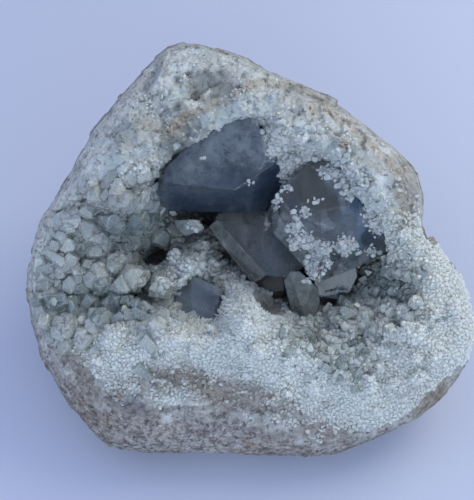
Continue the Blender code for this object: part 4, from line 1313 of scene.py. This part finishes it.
def grow_crystals(name, feet, outward, sizes, seed, habits, finish, slender, lean, by_place=0.3):
    """Stands a crystal on each foot and joins them in one piece, with a tone for each.

    Slender says how high they are for their width, and by_place how far the place gives the tone.
    """
    rng = np.random.default_rng(seed)
    axes = outward + lean * rng.normal(0, 1, (len(feet), 3))
    axes /= np.linalg.norm(axes, axis=1, keepdims=True)
    helper = rng.normal(0, 1, (len(feet), 3))
    sides = np.cross(axes, helper)
    sides /= np.linalg.norm(sides, axis=1, keepdims=True)
    turned = np.stack([sides, np.cross(axes, sides), axes], axis=1)
    stretches = [rng.uniform(*span, len(feet)) for span in (WIDTH_SPREAD, WIDTH_SPREAD, slender)]
    scale = sizes[:, None] * MM * np.stack(stretches, 1)
    pick = rng.integers(len(habits), size=len(feet))
    tones = np.clip((1 - by_place) * rng.random(len(feet)) + by_place * tone_of_place(feet), 0, 1)
    points, faces, face_edges, point_tones, start = [], [], [], [], 0
    for number, (shape, habit_faces, edge_faces) in enumerate(habits):
        chosen = np.flatnonzero(pick == number)
        grown = feet[chosen, None] + (shape[None] * scale[chosen, None]) @ turned[chosen]
        points.append(grown.reshape(-1, 3))
        point_tones.append(np.repeat(tones[chosen], len(shape)))
        for index in range(len(chosen)):
            base = start + index * len(shape)
            faces += [[base + corner for corner in face] for face in habit_faces]
        face_edges += edge_faces * len(chosen)
        start += len(chosen) * len(shape)
    points = np.concatenate(points)
    points[:, 2] = np.maximum(points[:, 2], 0)
    here = on_face(points)
    stain = DIRT_SHOWN * low_edge_stain(here) + TAN_SHOWN * tan_stain(here)
    stain *= 0.65 + 1.3 * rough(here, 2.5, 470)
    mesh = bpy.data.meshes.new(name)
    mesh.from_pydata(points.tolist(), [], faces)
    keep_mask(mesh, "tone", np.concatenate(point_tones))
    keep_mask(mesh, "stain", np.clip(stain, 0, MOST_STAIN))
    # depth: painted shade, darker deeper in the hollow
    keep_mask(mesh, "depth", SHADE * smooth_step(-here[:, 2], SHADE_FROM, SHADE_TO))
    keep_mask(mesh, "edge", face_edges, "FACE")
    mesh.materials.append(finish)
    piece = add_object(name, mesh)
    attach(piece, "root")


def grow_field(name, weight, size_range, crowding, tries, seed, **growth):
    """Scatters crystals over the crust and joins them in one piece."""
    grow_crystals(name, *scattered_feet(weight, size_range, crowding, tries, seed), seed + 1, **growth)


# Small crystals: a tone for each, warmer patches, pale worn edges that are partly painted highlight, stains
# that lie on them, and painted shade toward the Deep colour deeper in the hollow
small = new_group(
    "small crystals", ["Dark", "Pale", "Warm", "Deep"], ["Tone", "Warmth"], ["Color", "Milkiness"]
)
inner = small.ramp(small.noise(380, 4, 0.65, 0.8), [(0.35, 0), (0.65, 1)])
colour = small.mix(small.mix(0.25, small.given("Tone"), inner), small.given("Dark"), small.given("Pale"))
patches = small.ramp(small.noise(60, 4, 0.6, 0.5), [(0.45, 0), (0.65, 1)])
colour = small.lay(colour, patches, small.given("Warmth"), small.given("Warm"))
# Pale edges of the bevelled habits: partly worn, partly painted edge highlight.
colour = small.lay(colour, small.mask("edge"), 0.28, (0.86, 0.88, 0.87))
# Painted shade: the Deep colour grows with depth in the hollow.
colour = small.mix(small.mask("depth"), colour, small.given("Deep"))
colour = small.mix(small.mask("stain"), colour, (0.36, 0.315, 0.265))
small.put({"Color": colour, "Milkiness": small.noise(900, 2, 0.5)})


def druse_finish(name, dark, pale, warm, warmth, depth_shade_colour, transmission, tones, glossy):
    """Small crystals from dark to pale as the tones say, clear as far as the transmission says."""
    milky_inside = {
        "IOR": REFRACTION,
        "Transmission Weight": transmission,
        "Subsurface Weight": 0.6,
        "Subsurface Radius": (0.9, 1.0, 1.0),
        "Subsurface Scale": 0.0012,
    }
    finish, net = new_material(name, milky_inside)
    tone = net.ramp(net.mask("tone"), tones)
    colours = {"Dark": dark, "Pale": pale, "Warm": warm, "Warmth": warmth, "Deep": depth_shade_colour}
    colour, milkiness = net.place(small, {"Tone": tone, **colours})
    net.put({"Base Color": colour, "Roughness": net.ramp(milkiness, glossy)})
    return finish


large_starts = np.cumsum([0] + [len(piece.data.vertices) for piece in large_crystals]).tolist()
large_tree = BVHTree.FromPolygons(
    [vertex.co.copy() for piece in large_crystals for vertex in piece.data.vertices],
    [
        [start + corner for corner in face.vertices]
        for piece, start in zip(large_crystals, large_starts)
        for face in piece.data.polygons
    ],
)
habit_rng = np.random.default_rng(7)
plain_habits = [crystal_habit(habit_rng, (0.45, 0.9), 0) for _ in range(20)]
worn_habits = [crystal_habit(habit_rng, (0.5, 1.0), 0.03, square=number % 3 > 0) for number in range(18)]
needle_habits = [crystal_habit(habit_rng, (0.5, 0.8), 0, pointed=True) for _ in range(10)]

# Crystals grow on the crust well inside its edge, and not in holes, on dirt or on bare stone
well_inside = past_edge + 5 * rough(places, 2.2, 465) + 8 * (1 - low_band) > 2.5
massive_lip = blob(places, *BARE_LIP) * (0.8 + 1.2 * rough(places, 3, 467))
bare = sum(streak(places, line, width) for line, width in BARE_LINES)
dirty = masks["low edge"] * (0.85 + 2.2 * rough(places, 1.8, 460))
growing = on_crust * well_inside * (holes < 0.2) * (massive_lip < 0.45) * (bare < 0.4) * (dirty < 0.4)

sugar = druse_finish(
    "white druse",
    dark=(0.62, 0.65, 0.62),
    pale=(0.79, 0.81, 0.76),
    warm=(0.70, 0.67, 0.58),
    warmth=0.22,
    depth_shade_colour=(0.36, 0.37, 0.33),
    transmission=0.10,
    tones=[(0.0, 0), (0.35, 0.6), (1.0, 1)],
    glossy=[(0.3, 0.25), (0.7, 0.6)],
)
grow_field(
    "lip_druse", growing * ground["lip"], (0.7, 1.7), crowding=0.7, tries=28000, seed=21,
    habits=plain_habits, finish=sugar, slender=(0.6, 1.1), lean=0.35, by_place=0.6,
)
grow_field(
    "lobe_druse", growing * ground["lobe"], (0.7, 1.8), crowding=0.6, tries=20000, seed=23,
    habits=plain_habits, finish=sugar, slender=(0.6, 1.1), lean=0.4, by_place=0.5,
)


# The thin upright needles of clear celestite on the front lip's inner edge, and the white druse
# that has grown on the large crystals, mostly on the right one.
LIP_EDGE = [
    (172, 324), (196, 322), (222, 318), (236, 304), (250, 298), (272, 312), (300, 329), (322, 330),
]
NEEDLE_BAND = 4.5
# Ovals of the picture: (middle, half size, how many are tried)
CRYSTAL_PATCHES = [
    ((300, 240), (12, 8), 150), ((318, 250), (11, 9), 160), ((342, 246), (11, 9), 140),
    ((315, 271), (9, 9), 110), ((327, 264), (3, 3), 20), ((314, 202), (7, 3), 8),
    ((346, 195), (8, 6), 50), ((368, 214), (8, 8), 90), ((384, 216), (13, 8), 420),
    ((378, 229), (8, 5), 160), ((296, 228), (7, 5), 40), ((300, 214), (9, 7), 30),
    ((268, 138), (5, 10), 60), ((197, 141), (3, 2), 3), ((204, 160), (4, 2), 2),
    ((250, 184), (6, 2), 6), ((276, 202), (3, 8), 34), ((286, 189), (5, 4), 26),
    ((330, 174), (12, 7), 160), ((345, 186), (9, 6), 90), ((268, 224), (3, 6), 18),
    ((190, 226), (9, 4), 10), ((312, 280), (8, 3), 26), ((372, 250), (9, 4), 30),
]
SEEN_FROM = 60


def feet_on_crystals(patches, smallest, largest, seed):
    """Feet of crystals that have grown on the large ones, in ovals of the picture."""
    rng = np.random.default_rng(seed)
    out_of_face = TO_WORLD.to_3x3() @ Vector((0, 0, 1))
    feet, outward, sizes = [], [], []
    for middle, half_size, amount in patches:
        for _ in range(amount):
            spread = rng.normal(0, 0.5, 2)
            u, v = at_pixel(*(np.array(middle) + spread * half_size))
            start = TO_WORLD @ Vector((u, v, SEEN_FROM))
            place, normal, _, _ = large_tree.ray_cast(start, -out_of_face)
            size = smallest + (largest - smallest) * rng.random() ** 2
            if place and all(math.dist(place, foot) > 0.4 * size * MM for foot in feet):
                feet.append(place)
                outward.append(normal + 0.4 * out_of_face.normalized())
                sizes.append(size)
    return np.array(feet), np.array([unit(way) for way in outward]), np.array(sizes)


grow_field(
    "lip_needles", growing * streak(places, LIP_EDGE, NEEDLE_BAND), (0.8, 1.7), crowding=0.9, tries=1500,
    seed=25, habits=needle_habits, finish=sugar, slender=(1.2, 2.1), lean=0.35,
)
veiled = druse_finish(
    "veiled druse",
    dark=(0.45, 0.485, 0.485),
    pale=(0.76, 0.79, 0.78),
    warm=(0.58, 0.56, 0.50),
    warmth=0.2,
    depth_shade_colour=(0.33, 0.34, 0.31),
    transmission=0.2,
    tones=[(0.1, 0), (0.9, 1)],
    glossy=[(0.3, 0.25), (0.7, 0.6)],
)
grow_crystals(
    "crystal_druse", *feet_on_crystals(CRYSTAL_PATCHES, 0.7, 3.0, seed=27), seed=28,
    habits=plain_habits, finish=veiled, slender=(0.3, 0.6), lean=0.5,
)


# The coarser crystals of the left basin, the bank in the middle and the trough at the right:
# clear grey-green blocks a few millimetres across, with pale worn edges that are partly painted edge
# highlights.
green = druse_finish(
    "grey-green blocks",
    dark=(0.34, 0.41, 0.41),
    pale=(0.93, 0.97, 0.93),
    warm=(0.74, 0.70, 0.54),
    warmth=0.25,
    depth_shade_colour=(0.37, 0.38, 0.32),
    transmission=0.6,
    tones=[(0.26, 0), (0.6, 1)],
    glossy=[(0.3, 0.10), (0.7, 0.35)],
)
large_blocks_grow = growing * ground["basin"] * (rim < 0.5) * (holes < 0.02)
grow_field(
    "basin_blocks", large_blocks_grow, (2.4, 6.8), crowding=0.4, tries=6000, seed=31,
    habits=worn_habits, finish=green, slender=(0.4, 0.7), lean=0.4, by_place=0.8,
)
grow_field(
    "basin_fill", growing * ground["basin"] * (rim < 0.7), (1.0, 2.2), crowding=0.7, tries=9000, seed=37,
    habits=plain_habits, finish=green, slender=(0.7, 1.2), lean=0.5, by_place=0.8,
)
grow_field(
    "bank_druse", growing * (ground["bank"] + 0.6 * ground["hollow"]), (1.0, 2.6), crowding=0.66,
    tries=10000, seed=33, habits=plain_habits, finish=veiled, slender=(0.6, 1.1), lean=0.4, by_place=0.6,
)
grow_field(
    "trough_blocks", growing * ground["trough"], (1.4, 3.6), crowding=0.6, tries=6000, seed=35,
    habits=worn_habits, finish=green, slender=(0.7, 1.3), lean=0.4, by_place=0.6,
)


# Grains of the same white celestite as the druse, which stand out of the massive upper wall in
# places. They are half sunk in the wall and broken with it.
bald = np.maximum.reduce([masks["glassy"], masks["recess"], masks["aqua"]])
grainy = ground["wall"] * (rough(places, 5, 440) + 0.4 * deep - 0.3 * rim > 0.2) * (bald < 0.4)
grow_field(
    "wall_grains", growing * grainy, (0.5, 1.5), crowding=1.1, tries=1700, seed=41,
    habits=plain_habits, finish=sugar, slender=(0.2, 0.45), lean=0.6,
)
